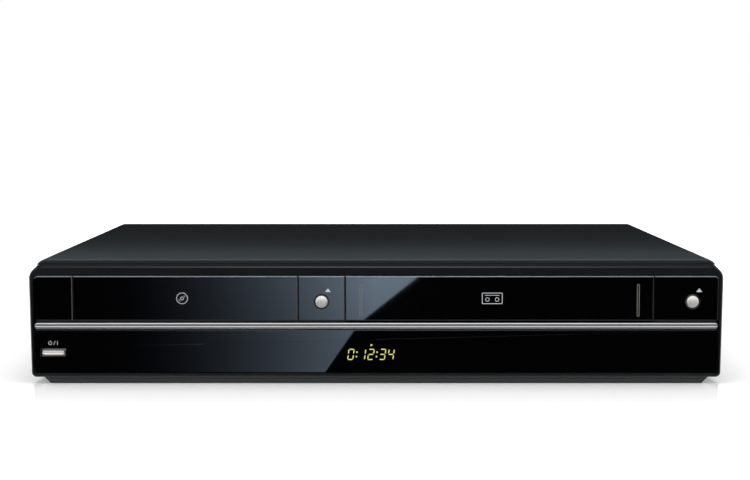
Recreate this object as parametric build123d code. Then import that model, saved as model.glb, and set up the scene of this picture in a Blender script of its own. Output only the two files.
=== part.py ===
from build123d import *
import math
import os

# A disc and video cassette combination player.
# Millimetres. X runs left to right seen from the front, the front faces -Y, Z is up.
# The origin is on the floor under the middle of the outer box.
# Every y below counts from the front face towards the back; the helpers add front_y to it.

# ---------------------------------------------------------------- front panel, left to right
rim = 2.6
seam = 0.4
left_tile_width = 23.9
tray_cap_width = 139.1
middle_tile_width = 28.7
cassette_width = 188.0
door_side_margin = 1.5
right_tile_width = 39.7
door_width = cassette_width + 2 * door_side_margin
row_width = left_tile_width + tray_cap_width + middle_tile_width + door_width + right_tile_width
width = row_width + 6 * seam + 2 * rim

# ---------------------------------------------------------------- front panel, bottom to top
skirt_bottom = 0.3
bezel_bottom = 4.3
bottom_rim = 2.6
lower_fascia_height = 27.0
strip_height = 4.5
strip_gap = 0.1
row_gap = 1.1
row_height = 27.7
top_rim = 5.5
skirt_inset = 7.5
crown_rise = 1.0
hem_gap = 0.2
hem_height = 2.5
lower_z0 = bezel_bottom + bottom_rim
lower_z1 = lower_z0 + lower_fascia_height
strip_z0 = lower_z1 + strip_gap
strip_z1 = strip_z0 + strip_height
row_z0 = strip_z1 + row_gap
row_z1 = row_z0 + row_height
rim_z0 = row_z1 + seam
bezel_top = rim_z0 + top_rim
cover_top = bezel_top + crown_rise + hem_gap + hem_height

# ---------------------------------------------------------------- shell
sheet = 1.0
sheet_gap = 0.3
side_draft = 1.1
cover_inset = 2.0
cover_front = 10.6
bezel_depth = 18.0
bezel_wall = 2.0
face_wall = 1.7
panel_thickness = 2.5
corner_radius = 3.0
shoulder_radius = 7.5
cover_bend = 7.0
edge_bevel = 0.7
tile_corner = 2.4
tile_bevel = 0.5
ceiling_wall = 2.0
side_flange = 12.0
front_flange = 4.0
rear_hem = 9.0
hem_end = 1.2
chassis_front = 6.0
foot_radius = 11.0
foot_inset = 34.0
screw_radius = 1.5
screw_head_radius = 3.0
screw_head = 1.8
screw_hole_gap = 0.2
screw_length = 8.0
vent_width = 2.5
vent_length = 24.0
vent_pitch = 6.0
vent_count = 9
cover_half = width / 2 - cover_inset
chassis_half = cover_half - sheet - sheet_gap
floor_z0 = bezel_bottom + hem_gap
floor_z1 = floor_z0 + sheet
cover_under = cover_top - sheet
crown_top = bezel_top + crown_rise
ceiling = bezel_top - ceiling_wall

# ---------------------------------------------------------------- fits
running = 0.05
touch_gap = 0.3
slide_gap = 0.5

# ---------------------------------------------------------------- cassette deck, front to back
cassette_height = 25.0
cassette_depth = 104.0
door_thickness = 2.0
door_pivot_y = 3.4
door_pivot_rise = 2.0
door_pin_radius = 1.0
door_pin_length = 2.4
door_ear_width = 3.0
door_groove_width = 1.5
door_groove_inset = 9.6
door_groove_end = 3.0
holder_wall = 1.0
holder_gap = 0.7
holder_flange = 9.7
holder_stud_radius = 1.5
carriage_travel = 60.0
holder_drop = 14.0
guide_wall = 1.2
drum_radius = 31.0
drum_tilt = 6.0
drum_clearance = 5.0
capstan_clearance = 11.5
pinch_rise = 5.0
pinch_height = 16.0
reel_setback = 61.0
capstan_from_middle = 66.0
mode_from_middle = 72.0
deck_margin = 10.0
deck_top = 21.5
deck_plate = 1.5
board_gap = 6.0
rear_board_depth = 54.0
board_rear_gap = 6.7
door_pivot_z = row_z1 + door_pivot_rise
door_reach = math.hypot(door_pivot_y, door_pivot_z - row_z0)
holder_front = door_pivot_y + door_reach + 1.5
holder_back = holder_front + cassette_depth
drum_y = holder_back + carriage_travel + drum_clearance + drum_radius
deck_back = drum_y + drum_radius + deck_margin
rear_inner = deck_back + board_gap + rear_board_depth + board_rear_gap
rear_outer = rear_inner + sheet
body_depth = rear_outer + 0.1 + sheet

# ---------------------------------------------------------------- buttons
eject_button_radius = 3.75
eject_hole_radius = 4.85
eject_proud = 1.2
eject_travel = 1.0
eject_z_in_row = 11.8
eject_x_in_right_tile = 23.7
power_button_width = 14.0
power_button_height = 3.6
power_recess_width = 16.4
power_recess_height = 6.1
power_from_left = 11.0
power_z_in_fascia = 12.5
power_drop_in_recess = 0.4
power_sink = 0.4
display_z_in_fascia = 11.9
stem_end = 8.2
button_flange = 1.5

# ---------------------------------------------------------------- disc loader
disc_radius = 60.0
disc_gap = 0.5
small_disc_radius = 40.0
tray_width = 130.0
tray_travel = 138.0
tray_drop_in_row = 3.4
tray_deck = 5.5
tray_runner = 1.5
tray_runner_width = 7.0
disc_recess = 3.0
spindle_y = 75.0
spindle_slot_radius = 20.0
tray_gear_y = 33.0
tray_teeth = 24
rack_module = 1.0
wheel_teeth = 40
pinion_teeth = 14
wheel_module = 0.8
backlash = 0.25
rack_height = 4.6
loader_front = 16.0
loader_wall = 5.5
loader_floor = 34.0
loader_top = 62.0
turntable_radius = 14.0
hub_radius = 7.3
clamper_radius = 12.0
sled_travel = 34.0
sled_length = 22.0
sled_teeth = 20
sled_module = 0.6
rail_radius = 1.5
traverse_pivot_back = 158.0
traverse_half = 28.0

# ---------------------------------------------------------------- rear sockets
jack_reach = 8.0
jack_radius = 4.2
jack_bore = 1.6
jack_pitch = 14.0
jack_row_step = 19.0
jack_columns = 8
jack_rows = 2
jack_block_depth = 14.0
jacks_from_side = 122.0
jacks_above_board = 9.0
socket_half = 5.6
socket_bore = 4.3
socket_depth = 12.0
socket_step = 20.0
aerial_radius = 4.8
aerial_bore = 3.4
tuner_step = 18.0
tuner_width = 50.0
tuner_depth = 42.0
tuner_height = 44.0
aerial_rise = 12.0
aerial_step = 20.0
hole_gap = 0.6
inlet_width = 22.0
inlet_height = 12.0
inlet_depth = 18.0
inlet_from_side = 30.0
inlet_pin_step = 4.3
inlet_bore = 4.0

# ---------------------------------------------------------------- circuit boards
board_thickness = 1.6
board_z = 13.0
board_side_gap = 6.0
board_front_gap = 16.0
board_leg_radius = 3.0
board_screw_inset = 6.0
power_board_width = 90.0
power_board_back_gap = 12.7
transformer_width = 32.0
transformer_depth = 30.0
transformer_height = 26.0
core_width = 40.0
core_depth = 14.0
core_height = 20.0
transformer_from_side = 56.0
transformer_from_front = 65.0
mains_can_radius = 11.0
mains_can_height = 32.0
mains_can_from_side = 20.0
mains_can_from_front = 48.0
can_radius = 5.0
can_height = 20.0
can_pitch = 14.0
can_count = 4
cans_from_side = 18.0
cans_from_front = 22.0
sink_wall = 2.0
sink_height = 30.0
sink_depth = 14.0
sink_pitch = 6.0
sink_fin = 1.6
sink_fins = 5
sink_from_side = 8.0
sink_from_front = 66.0
large_chip = 20.0
small_chip = (12.0, 22.0)
chip_height = 2.0
large_chip_place = (32.0, 44.0)
small_chip_place = (54.0, 27.0)
small_can_radius = 4.0
small_can_height = 12.0
small_can_pitch = 11.0
small_cans_from_side = 12.0
small_cans_from_front = 80.0

# ---------------------------------------------------------------- worked-out places
front_y = -(body_depth + jack_reach - eject_proud) / 2
row_x0 = -width / 2 + rim + seam
tray_cap_x0 = row_x0 + left_tile_width + seam
middle_x0 = tray_cap_x0 + tray_cap_width + seam
door_x0 = middle_x0 + middle_tile_width + seam
right_x0 = door_x0 + door_width + seam
right_x1 = right_x0 + right_tile_width
loader_x = tray_cap_x0 + tray_cap_width / 2
deck_x = door_x0 + door_width / 2
fascia_half = width / 2 - rim - seam - side_draft / 2
eject_z = row_z0 + eject_z_in_row
disc_eject_x = middle_x0 + middle_tile_width / 2
cassette_eject_x = right_x0 + eject_x_in_right_tile
power_x = -fascia_half + power_from_left
power_z = lower_z0 + power_z_in_fascia
recess_z = power_z + power_drop_in_recess
display_z = lower_z0 + display_z_in_fascia
display_x = -2.4
tray_z0 = row_z0 + row_height / 2 - tray_drop_in_row
tray_top = tray_z0 + tray_runner + tray_deck
tray_half = tray_width / 2
tray_back = tray_gear_y + tray_travel + 7.0
loader_half = tray_half + slide_gap + loader_wall
loader_back = tray_back + 8.0
disc_floor = tray_top - disc_recess
holder_z0 = strip_z1 + row_gap
holder_z1 = holder_z0 + cassette_height + 1.0
holder_half = cassette_width / 2 + holder_gap
stud_z = holder_z0 + cassette_height / 2
stud_y = [holder_front + 20.0, holder_back - 20.0]
carriage_half = holder_half + holder_wall + slide_gap
guide_half = carriage_half + holder_wall + 0.8
deck_half = guide_half + guide_wall + 0.8
deck_front = holder_front + 1.0
reel_offset = 46.0
reel_y = holder_back + carriage_travel - reel_setback
capstan_x = deck_x + capstan_from_middle
capstan_y = holder_back + carriage_travel + capstan_clearance
capstan_radius = 2.5
pinch_radius = 7.0
pinch_open_angle = 25.0
board_top = board_z + board_thickness
board_split_x = deck_x - deck_half - board_side_gap
board_y0 = loader_back + board_front_gap
main_board_back = rear_inner - board_rear_gap + 1.0
power_board_x0 = -chassis_half + board_side_gap
power_board_x1 = power_board_x0 + power_board_width
power_board_back = rear_inner - power_board_back_gap
main_board_x0 = power_board_x1 + board_side_gap
inlet_x = -chassis_half + inlet_from_side
inlet_z = board_top + inlet_height / 2


# ---------------------------------------------------------------- small helpers
def block(x0, x1, y0, y1, z0, z1):
    """A box between two corners, y counted from the front face."""
    box = Box(x1 - x0, y1 - y0, z1 - z0)
    return Pos((x0 + x1) / 2, front_y + (y0 + y1) / 2, (z0 + z1) / 2) * box


def post(x, y, z0, z1, radius):
    """An upright round bar."""
    return Pos(x, front_y + y, (z0 + z1) / 2) * Cylinder(radius, z1 - z0)


def bar_y(x, z, y0, y1, radius):
    """A round bar from front to back."""
    return Pos(x, front_y + (y0 + y1) / 2, z) * Rot(90, 0, 0) * Cylinder(radius, y1 - y0)


def bar_x(x0, x1, y, z, radius):
    """A round bar from left to right."""
    return Pos((x0 + x1) / 2, front_y + y, z) * Rot(0, 90, 0) * Cylinder(radius, x1 - x0)


def flat_profile(points, radius=0.0):
    """A flat outline from its corners, with all corners rounded if a radius is given."""
    outline = Polygon(*points, align=None)
    if radius:
        outline = fillet(outline.vertices(), radius)
    return outline


def upright(outline, y0, y1):
    """Carries an outline drawn in X and Z from y0 to y1."""
    plane = Plane(origin=(0, front_y + y0, 0), x_dir=(1, 0, 0), z_dir=(0, -1, 0))
    return extrude(plane * outline, y1 - y0, dir=(0, 1, 0))


def level(outline, z0, z1):
    """Carries an outline drawn in X and Y from z0 to z1."""
    return extrude(Plane.XY.offset(z0) * Pos(0, front_y) * outline, z1 - z0, dir=(0, 0, 1))


def sideways(outline, x0, x1):
    """Carries an outline drawn in Y and Z from x0 to x1."""
    return extrude(Plane.YZ.offset(x0) * Pos(front_y, 0) * outline, x1 - x0, dir=(1, 0, 0))


def slot_outline(xa, ya, xb, yb, radius):
    """A straight slot with round ends between two centres."""
    length = math.hypot(xb - xa, yb - ya)
    angle = math.degrees(math.atan2(yb - ya, xb - xa))
    middle = Pos((xa + xb) / 2, (ya + yb) / 2) * Rot(0, 0, angle)
    return middle * SlotCenterToCenter(length, 2 * radius)


def both_sides(shape_at):
    """The same piece on the left and the right of a middle plane."""
    return [shape_at(-1), shape_at(1)]


def involute(angle):
    return math.tan(angle) - angle


def gear_outline(teeth, module, x, y, phase=0.0):
    """A spur gear outline with involute flanks; phase turns it, in pitches."""
    pressure = math.radians(20)
    pitch_radius = teeth * module / 2
    base_radius = pitch_radius * math.cos(pressure)
    tip_radius = pitch_radius + module
    root_radius = pitch_radius - 1.25 * module
    half_pitch_angle = math.pi / (2 * teeth) - backlash / (4 * pitch_radius)
    radii = [root_radius, max(base_radius, root_radius + 0.01), pitch_radius, tip_radius]
    flank = []
    for radius in radii:
        roll = math.acos(min(1.0, base_radius / radius))
        flank.append((radius, half_pitch_angle + involute(pressure) - involute(roll)))
    points = []
    for tooth in range(teeth):
        middle = 2 * math.pi * (tooth + phase) / teeth
        for radius, half in flank:
            points.append((x + radius * math.cos(middle - half), y + radius * math.sin(middle - half)))
        for radius, half in reversed(flank):
            points.append((x + radius * math.cos(middle + half), y + radius * math.sin(middle + half)))
    return Polygon(*points, align=None)


def rack_outline(pitch_x, side, y_mesh, count_front, count_back, module, base):
    """A rack along Y whose teeth point to side; a gap is centred on y_mesh."""
    pitch = math.pi * module
    half = pitch / 4 - backlash / 4
    slope = math.tan(math.radians(20))
    tip = module
    root = 1.25 * module
    body = Rectangle(base, pitch * (count_front + count_back + 1))
    middle_y = y_mesh + pitch * (count_back - count_front) / 2
    body = Pos(pitch_x - side * (root + base / 2), middle_y) * body
    teeth = []
    for step in range(-count_front, count_back):
        middle = y_mesh + pitch * (step + 0.5)
        corners = [
            (pitch_x - side * root, middle - half - slope * root),
            (pitch_x + side * tip, middle - half + slope * tip),
            (pitch_x + side * tip, middle + half - slope * tip),
            (pitch_x - side * root, middle + half + slope * root),
        ]
        teeth.append(Polygon(*corners, align=None))
    return body + teeth


def screw(x, y, z, direction):
    """A pan head screw; direction is the way that its head faces."""
    head = Cylinder(screw_head_radius, screw_head, align=(Align.CENTER, Align.CENTER, Align.MIN))
    head = fillet(head.edges().sort_by(Axis.Z)[-1], screw_head * 0.6)
    cross = Pos(0, 0, screw_head) * (Box(0.8, 3.2, 1.2) + Box(3.2, 0.8, 1.2))
    shank = Pos(0, 0, -screw_length / 2) * Cylinder(screw_radius, screw_length)
    return Plane(origin=(x, front_y + y, z), z_dir=direction) * (head - cross + shank)


parts = {}


def keep(name, *shapes):
    """Stores the solids of one named piece or group of like pieces."""
    solids = []
    for shape in shapes:
        solids.extend(shape.solids())
    parts[name] = solids[0] if len(solids) == 1 else Compound(solids)


# ---------------------------------------------------------------- casing
def foot_places():
    x = cover_half - foot_inset
    return [(sx * x, y) for sx in (-1, 1) for y in (foot_inset, body_depth - foot_inset)]


def make_feet():
    feet = []
    for x, y in foot_places():
        foot = post(x, y, 0, floor_z0, foot_radius)
        foot = fillet(foot.edges().group_by(Axis.Z)[0], 1.2)
        feet.append(foot - post(x, y, -1, 1.5, foot_radius * 0.45))
    keep("feet", *feet)


def side_screw_places():
    return [(side, y) for side in (-1, 1) for y in (46.0, body_depth - 60.0)]


def rear_screw_places():
    return [(x, cover_under - rear_hem / 2) for x in (-cover_half * 0.86, 0.0, cover_half * 0.86)]


def case_outline(half, z0, z1, bend):
    """The section of the folded case from the front, with rounded upper corners."""
    outline = Polygon((-half, z0), (half, z0), (half, z1), (-half, z1), align=None)
    return fillet(outline.vertices().group_by(Axis.Y)[-1], bend)


def bezel_outline(top, grow=0.0):
    """The bezel from the front: sides that draw in downwards, and rounded corners."""
    half_top = width / 2 + grow
    half_bottom = half_top - side_draft
    corners = [(-half_bottom, bezel_bottom - grow), (half_bottom, bezel_bottom - grow),
               (half_top, top + grow), (-half_top, top + grow)]
    outline = Polygon(*corners, align=None)
    outline = fillet(outline.vertices().group_by(Axis.Y)[-1], shoulder_radius + grow)
    return fillet(outline.vertices().group_by(Axis.Y)[0], corner_radius + grow)


def make_top_cover():
    outer = case_outline(cover_half, floor_z0, cover_top, cover_bend)
    inner = case_outline(cover_half - sheet, floor_z0 - sheet, cover_under, cover_bend - sheet)
    cover = upright(outer - inner, bezel_depth + seam, body_depth)
    front = upright(outer, cover_front, bezel_depth + seam)
    nose = front.edges().filter_by(Axis.X).group_by(Axis.Y)[0].sort_by(Axis.Z)[-1]
    front = fillet(nose, sheet * 0.9)
    front = front - upright(inner, cover_front + sheet, bezel_depth + seam)
    front = front - upright(bezel_outline(crown_top, hem_gap), cover_front, bezel_depth + seam)
    hem_half = cover_half - hem_end
    front = front & block(-hem_half, hem_half, cover_front, bezel_depth + seam, ceiling, cover_top)
    flange_half = cover_half - cover_bend
    back = block(-flange_half, flange_half, body_depth - sheet, body_depth, cover_under - rear_hem, cover_top - sheet / 2)
    cover = cover + front + back
    cuts = []
    for side in (-1, 1):
        for step in range(vent_count):
            y = body_depth / 2 + (step - (vent_count - 1) / 2) * vent_pitch
            slit = slot_outline(y, floor_z0 + 28.0, y, floor_z0 + 28.0 + vent_length, vent_width / 2)
            cuts.append(sideways(slit, side * cover_half - 3, side * cover_half + 3))
    for side, y in side_screw_places():
        hole = screw_radius + screw_hole_gap
        cuts.append(bar_x(side * cover_half - 3, side * cover_half + 3, y, floor_z0 + side_flange / 2, hole))
    for x, z in rear_screw_places():
        cuts.append(bar_y(x, z, body_depth - 2 * sheet, body_depth + sheet, screw_radius + screw_hole_gap))
    keep("top_cover", cover - cuts)


def make_bottom_chassis():
    back = rear_inner - sheet_gap
    floor = block(-chassis_half, chassis_half, chassis_front, back, floor_z0, floor_z1)
    flanges = both_sides(lambda side: block(
        min(side * chassis_half, side * (chassis_half - sheet)), max(side * chassis_half, side * (chassis_half - sheet)),
        chassis_front, back, floor_z0, floor_z0 + side_flange))
    front = block(-chassis_half, chassis_half, chassis_front, chassis_front + sheet, floor_z0, floor_z0 + front_flange)
    chassis = floor + flanges + [front]
    cuts = []
    for side, y in side_screw_places():
        middle = side * chassis_half
        cuts.append(bar_x(middle - 3, middle + 3, y, floor_z0 + side_flange / 2, screw_radius + screw_hole_gap))
    for step in range(-4, 5):
        for y in (body_depth * 0.42, body_depth * 0.42 + vent_length + 8.0):
            slit = slot_outline(loader_x + step * 2 * vent_pitch, y, loader_x + step * 2 * vent_pitch,
                                y + vent_length, vent_width / 2)
            cuts.append(level(slit, floor_z0 - 1, floor_z1 + 1))
    keep("bottom_chassis", chassis - cuts)


def jack_places():
    """The centres of the round sockets on the back, column by column."""
    left = -chassis_half + jacks_from_side
    low = board_top + jacks_above_board
    return [(left + c * jack_pitch, low + r * jack_row_step) for c in range(jack_columns) for r in range(jack_rows)]


def socket_places():
    """A square optical socket and a round video socket, one above the other."""
    x = jack_places()[-1][0] + socket_step
    return [(x, jack_places()[0][1]), (x, jack_places()[1][1])]


def tuner_box():
    x0 = socket_places()[0][0] + tuner_step
    return x0, x0 + tuner_width, board_top, board_top + tuner_height


def aerial_places():
    x0, x1, z0, z1 = tuner_box()
    return [((x0 + x1) / 2, z0 + aerial_rise), ((x0 + x1) / 2, z0 + aerial_rise + aerial_step)]


def make_rear_panel():
    outline = case_outline(chassis_half, floor_z0, cover_under - sheet_gap, cover_bend - sheet - sheet_gap)
    panel = upright(outline, rear_inner, rear_outer)
    cuts = []
    for x, z in jack_places():
        cuts.append(bar_y(x, z, rear_inner - 1, rear_outer + 1, jack_radius + hole_gap))
    for x, z in socket_places():
        half = socket_half + hole_gap
        cuts.append(block(x - half, x + half, rear_inner - 1, rear_outer + 1, z - half, z + half))
    for x, z in aerial_places():
        cuts.append(bar_y(x, z, rear_inner - 1, rear_outer + 1, aerial_radius + hole_gap))
    half_width = inlet_width / 2 + touch_gap
    half_height = inlet_height / 2 + touch_gap
    cuts.append(block(inlet_x - half_width, inlet_x + half_width, rear_inner - 1, rear_outer + 1,
                      inlet_z - half_height, inlet_z + half_height))
    for x, z in rear_screw_places():
        cuts.append(bar_y(x, z, rear_inner - 1, rear_outer + 1, screw_radius + screw_hole_gap))
    for step in range(8):
        x = -chassis_half + 60.0 + step * vent_pitch
        slit = slot_outline(x, 26.0, x, 54.0, vent_width / 2)
        cuts.append(upright(slit, rear_inner - 1, rear_outer + 1))
    keep("rear_panel", panel - cuts)


def make_case_screws():
    screws = []
    for side, y in side_screw_places():
        screws.append(screw(side * cover_half, y, floor_z0 + side_flange / 2, (side, 0, 0)))
    for x, z in rear_screw_places():
        screws.append(screw(x, body_depth, z, (0, 1, 0)))
    keep("case_screws", *screws)


# ---------------------------------------------------------------- front panel
def tray_opening():
    half = tray_half + 1.5
    return block(loader_x - half, loader_x + half, panel_thickness - 1, panel_thickness + bezel_wall + 1,
                 tray_z0 - rack_height, tray_top + 3.0)


def door_opening():
    gap = seam / 2
    return block(door_x0 - gap, door_x0 + door_width + gap, panel_thickness - 1, panel_thickness + bezel_wall + 1,
                 strip_z1, ceiling)


def bezel_section(y, top, grow=0.0):
    """The bezel's outline, standing at y."""
    return Plane(origin=(0, front_y + y, 0), x_dir=(1, 0, 0), z_dir=(0, -1, 0)) * bezel_outline(top, grow)


def make_front_bezel():
    crown_back = cover_front - seam
    bevel = loft([bezel_section(0, bezel_top, -edge_bevel), bezel_section(edge_bevel, bezel_top)], ruled=True)
    crown = loft([bezel_section(edge_bevel, bezel_top), bezel_section(crown_back, crown_top)], ruled=True)
    body = bevel + crown + upright(bezel_outline(crown_top), crown_back, bezel_depth)
    rail_half = cover_half - cover_bend - slide_gap
    rail = block(-rail_half, rail_half, cover_front + sheet + seam, bezel_depth, bezel_top, cover_under - hem_gap)
    inner_half = width / 2 - rim
    hollow = case_outline(inner_half, lower_z0, ceiling, shoulder_radius - rim)
    cavity = upright(hollow, face_wall, bezel_depth + 1)
    belly = block(-inner_half, inner_half, panel_thickness + bezel_wall + 0.7, bezel_depth + 1, 0, lower_z0 + 1)
    pocket = upright(case_outline(inner_half, lower_z0, rim_z0, tile_corner + seam), -1, face_wall + 0.1)
    bezel = body + rail - [cavity, belly, pocket]
    wall = upright(hollow, panel_thickness, panel_thickness + bezel_wall)
    holes = [tray_opening(), door_opening()]
    for x in (disc_eject_x, cassette_eject_x):
        holes.append(bar_y(x, eject_z, 0, 10, eject_button_radius + slide_gap))
    holes.append(block(power_x - power_button_width / 2 - slide_gap, power_x + power_button_width / 2 + slide_gap,
                       0, 10, power_z - power_button_height / 2 - slide_gap, power_z + power_button_height / 2 + slide_gap))
    holes.append(block(display_x - 28, display_x + 28, 0, 10, display_z - 9, display_z + 9))
    bezel = bezel + (wall - holes)
    skirt_half = width / 2 - side_draft - skirt_inset
    skirt = upright(flat_profile([
        (-skirt_half, bezel_bottom), (skirt_half, bezel_bottom),
        (skirt_half - 4, skirt_bottom), (-skirt_half + 4, skirt_bottom)]), 1.5, 5.0)
    bezel = bezel + skirt
    pin_hole = door_pin_radius + running
    for side, x in ((-1, door_x0), (1, door_x0 + door_width)):
        near = x + side * seam / 2
        far = near + side * (door_pin_length + 1.6)
        lug = block(min(near, far), max(near, far), face_wall, door_pivot_y + 2.6, rim_z0, ceiling)
        hole = bar_x(min(x, near) - 0.5, max(x, near) + 0.5, door_pivot_y, door_pivot_z, pin_hole)
        reach = x + side * (door_pin_length + 0.4)
        hole = hole + bar_x(min(near, reach), max(near, reach), door_pivot_y, door_pivot_z, pin_hole)
        bezel = bezel + lug - hole
    keep("front_bezel", bezel)


def tile(x0, x1, holes=(), outer_side=0):
    """A panel of the upper row; outer_side -1 or 1 rounds its upper outer corner."""
    panel = block(x0, x1, 0, panel_thickness, row_z0, row_z1)
    if outer_side:
        upper = panel.edges().filter_by(Axis.Y).group_by(Axis.Z)[-1].sort_by(Axis.X)
        panel = fillet(upper[0 if outer_side < 0 else -1], tile_corner)
    panel = chamfer(panel.faces().sort_by(Axis.Y)[0].outer_wire().edges(), tile_bevel)
    return panel - list(holes) if holes else panel


def make_tiles():
    keep("left_fascia_tile", tile(row_x0, row_x0 + left_tile_width, outer_side=-1))
    middle_hole = bar_y(disc_eject_x, eject_z, -1, 5, eject_hole_radius)
    keep("middle_fascia_tile", tile(middle_x0, middle_x0 + middle_tile_width, [middle_hole]))
    right_hole = bar_y(cassette_eject_x, eject_z, -1, 5, eject_hole_radius)
    keep("right_fascia_tile", tile(right_x0, right_x1, [right_hole], outer_side=1))


def make_lower_fascia():
    panel = block(-fascia_half, fascia_half, 0, panel_thickness, lower_z0, lower_z1)
    panel = chamfer(panel.faces().sort_by(Axis.Y)[0].outer_wire().edges(), tile_bevel)
    recess = block(power_x - power_recess_width / 2, power_x + power_recess_width / 2, -1, 5,
                   recess_z - power_recess_height / 2, recess_z + power_recess_height / 2)
    recess = fillet(recess.edges().filter_by(Axis.Y), 0.8)
    keep("lower_fascia", panel - recess)


def make_trim_strip():
    z = (strip_z0 + strip_z1) / 2
    end = strip_height * 0.5
    half = width / 2 - rim - 0.2
    outline = flat_profile([
        (-half, z), (-half + end, strip_z0), (half - end, strip_z0),
        (half, z), (half - end, strip_z1), (-half + end, strip_z1)])
    strip = upright(outline, 0.2, panel_thickness)
    crest = sideways(flat_profile([
        (0.25, strip_z0 + 0.5), (-0.3, z - 1.0), (-0.3, z + 1.3), (0.25, strip_z1 - 0.3)]), -half + end, half - end)
    keep("trim_strip", strip + crest)


def make_door():
    x1 = door_x0 + door_width
    door = block(door_x0, x1, 0, door_thickness, row_z0, row_z1)
    door = chamfer(door.faces().sort_by(Axis.Y)[0].outer_wire().edges(), tile_bevel)
    for x in (door_x0 + door_groove_inset, x1 - door_groove_inset):
        groove = slot_outline(x, row_z0 + door_groove_end, x, row_z1 - door_groove_end - 2.6, door_groove_width / 2)
        door = door - upright(groove, -1, 0.7)
    ear_shape = flat_profile([
        (door_thickness - 0.2, row_z1 - 4.5), (door_pivot_y + 1.4, row_z1 - 1.5),
        (door_pivot_y + 1.4, door_pivot_z), (face_wall + touch_gap, door_pivot_z), (door_thickness, row_z1 - 0.2)])
    ears = []
    for side, x in ((-1, door_x0), (1, x1)):
        inner = x - side * door_ear_width
        ear = sideways(ear_shape, min(x, inner), max(x, inner))
        ear = ear + bar_x(min(x, inner), max(x, inner), door_pivot_y, door_pivot_z, 1.4)
        pin = bar_x(min(x, x + side * door_pin_length), max(x, x + side * door_pin_length),
                    door_pivot_y, door_pivot_z, door_pin_radius)
        ears.extend([ear, pin])
    keep("cassette_door", door + ears)


def eject_button(x):
    wall_back = panel_thickness + bezel_wall
    dome = Pos(x, front_y - eject_proud, eject_z) * Rot(-90, 0, 0) * Cylinder(
        eject_button_radius, stem_end + eject_proud - 2, align=(Align.CENTER, Align.CENTER, Align.MIN))
    dome = fillet(dome.edges().group_by(Axis.Y)[0], 1.1)
    flange = bar_y(x, eject_z, wall_back + 0.1, wall_back + 0.1 + 1.0, eject_button_radius + button_flange)
    stem = bar_y(x, eject_z, wall_back, stem_end, 1.6)
    return dome + flange + stem


def make_buttons():
    keep("disc_eject_button", eject_button(disc_eject_x))
    keep("cassette_eject_button", eject_button(cassette_eject_x))
    wall_back = panel_thickness + bezel_wall
    half_width = power_button_width / 2
    half_height = power_button_height / 2
    cap = block(power_x - half_width, power_x + half_width, power_sink, 5.5, power_z - half_height, power_z + half_height)
    cap = fillet(cap.edges().filter_by(Axis.Y), 0.8)
    cap = fillet(cap.faces().sort_by(Axis.Y)[0].outer_wire().edges(), 0.5)
    flange = block(power_x - half_width - button_flange, power_x + half_width + button_flange,
                   wall_back + 0.1, wall_back + 1.1, power_z - half_height - button_flange, power_z + half_height + button_flange)
    stem = bar_y(power_x, power_z, wall_back, stem_end, 1.5)
    keep("power_button", cap + flange + stem)


def make_front_board():
    y0 = stem_end + eject_travel + 3.0
    y1 = y0 + board_thickness
    board = block(-chassis_half + 4, chassis_half - 4, y0, y1, floor_z0 + 9.0, lower_z1 - 1.0)
    for x in (disc_eject_x, cassette_eject_x):
        board = board + block(x - 7, x + 7, y0, y1, lower_z0 + 2.0, eject_z + 6.0)
    switches = []
    for x, z in ((disc_eject_x, eject_z), (cassette_eject_x, eject_z), (power_x, power_z)):
        switches.append(block(x - 3, x + 3, y0 - 2.5, y0, z - 3, z + 3))
    keep("front_board", board + switches)
    tube = block(display_x - 26, display_x + 26, y0 - 7.0, y0, display_z - 8, display_z + 8)
    tube = chamfer(tube.faces().sort_by(Axis.Y)[0].outer_wire().edges(), 0.8)
    keep("display_tube", tube)


# ---------------------------------------------------------------- disc loader
def rack_pitch_x():
    return loader_x + tray_half - 13.0


def make_tray():
    plate = block(loader_x - tray_half, loader_x + tray_half, panel_thickness, tray_back, tray_z0 + tray_runner, tray_top)
    runners = both_sides(lambda side: block(
        loader_x + side * (tray_half - tray_runner_width / 2) - tray_runner_width / 2,
        loader_x + side * (tray_half - tray_runner_width / 2) + tray_runner_width / 2,
        panel_thickness, tray_back, tray_z0, tray_z0 + tray_runner))
    recess = post(loader_x, spindle_y, disc_floor, tray_top + 1, disc_radius + disc_gap)
    small = post(loader_x, spindle_y, disc_floor - 1.2, tray_top + 1, small_disc_radius + disc_gap)
    slot = post(loader_x, spindle_y, tray_z0 - 1, tray_top + 1, spindle_slot_radius)
    slot = slot + block(loader_x - spindle_slot_radius, loader_x + spindle_slot_radius, spindle_y, tray_back + 1,
                        tray_z0 - 1, tray_top + 1)
    relief = both_sides(lambda side: post(loader_x + side * disc_radius * 0.80, spindle_y - disc_radius * 0.62,
                                          disc_floor, tray_top + 1, 11.0))
    pitch = math.pi * rack_module
    count_front = 5
    count_back = int(tray_travel / pitch) + 2
    rack = rack_outline(rack_pitch_x(), -1, tray_gear_y, count_front, count_back, rack_module, 2.5)
    rack = level(rack, tray_z0 + tray_runner - rack_height, tray_z0 + tray_runner)
    keep("disc_tray", plate + runners - [recess, small, slot] - relief + rack)


def make_tray_cap():
    cap = tile(tray_cap_x0, tray_cap_x0 + tray_cap_width)
    lugs = both_sides(lambda side: block(loader_x + side * 45 - 8, loader_x + side * 45 + 8,
                                         panel_thickness, panel_thickness + 6, tray_top, tray_top + 1.6))
    keep("tray_cap", cap + lugs)


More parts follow.
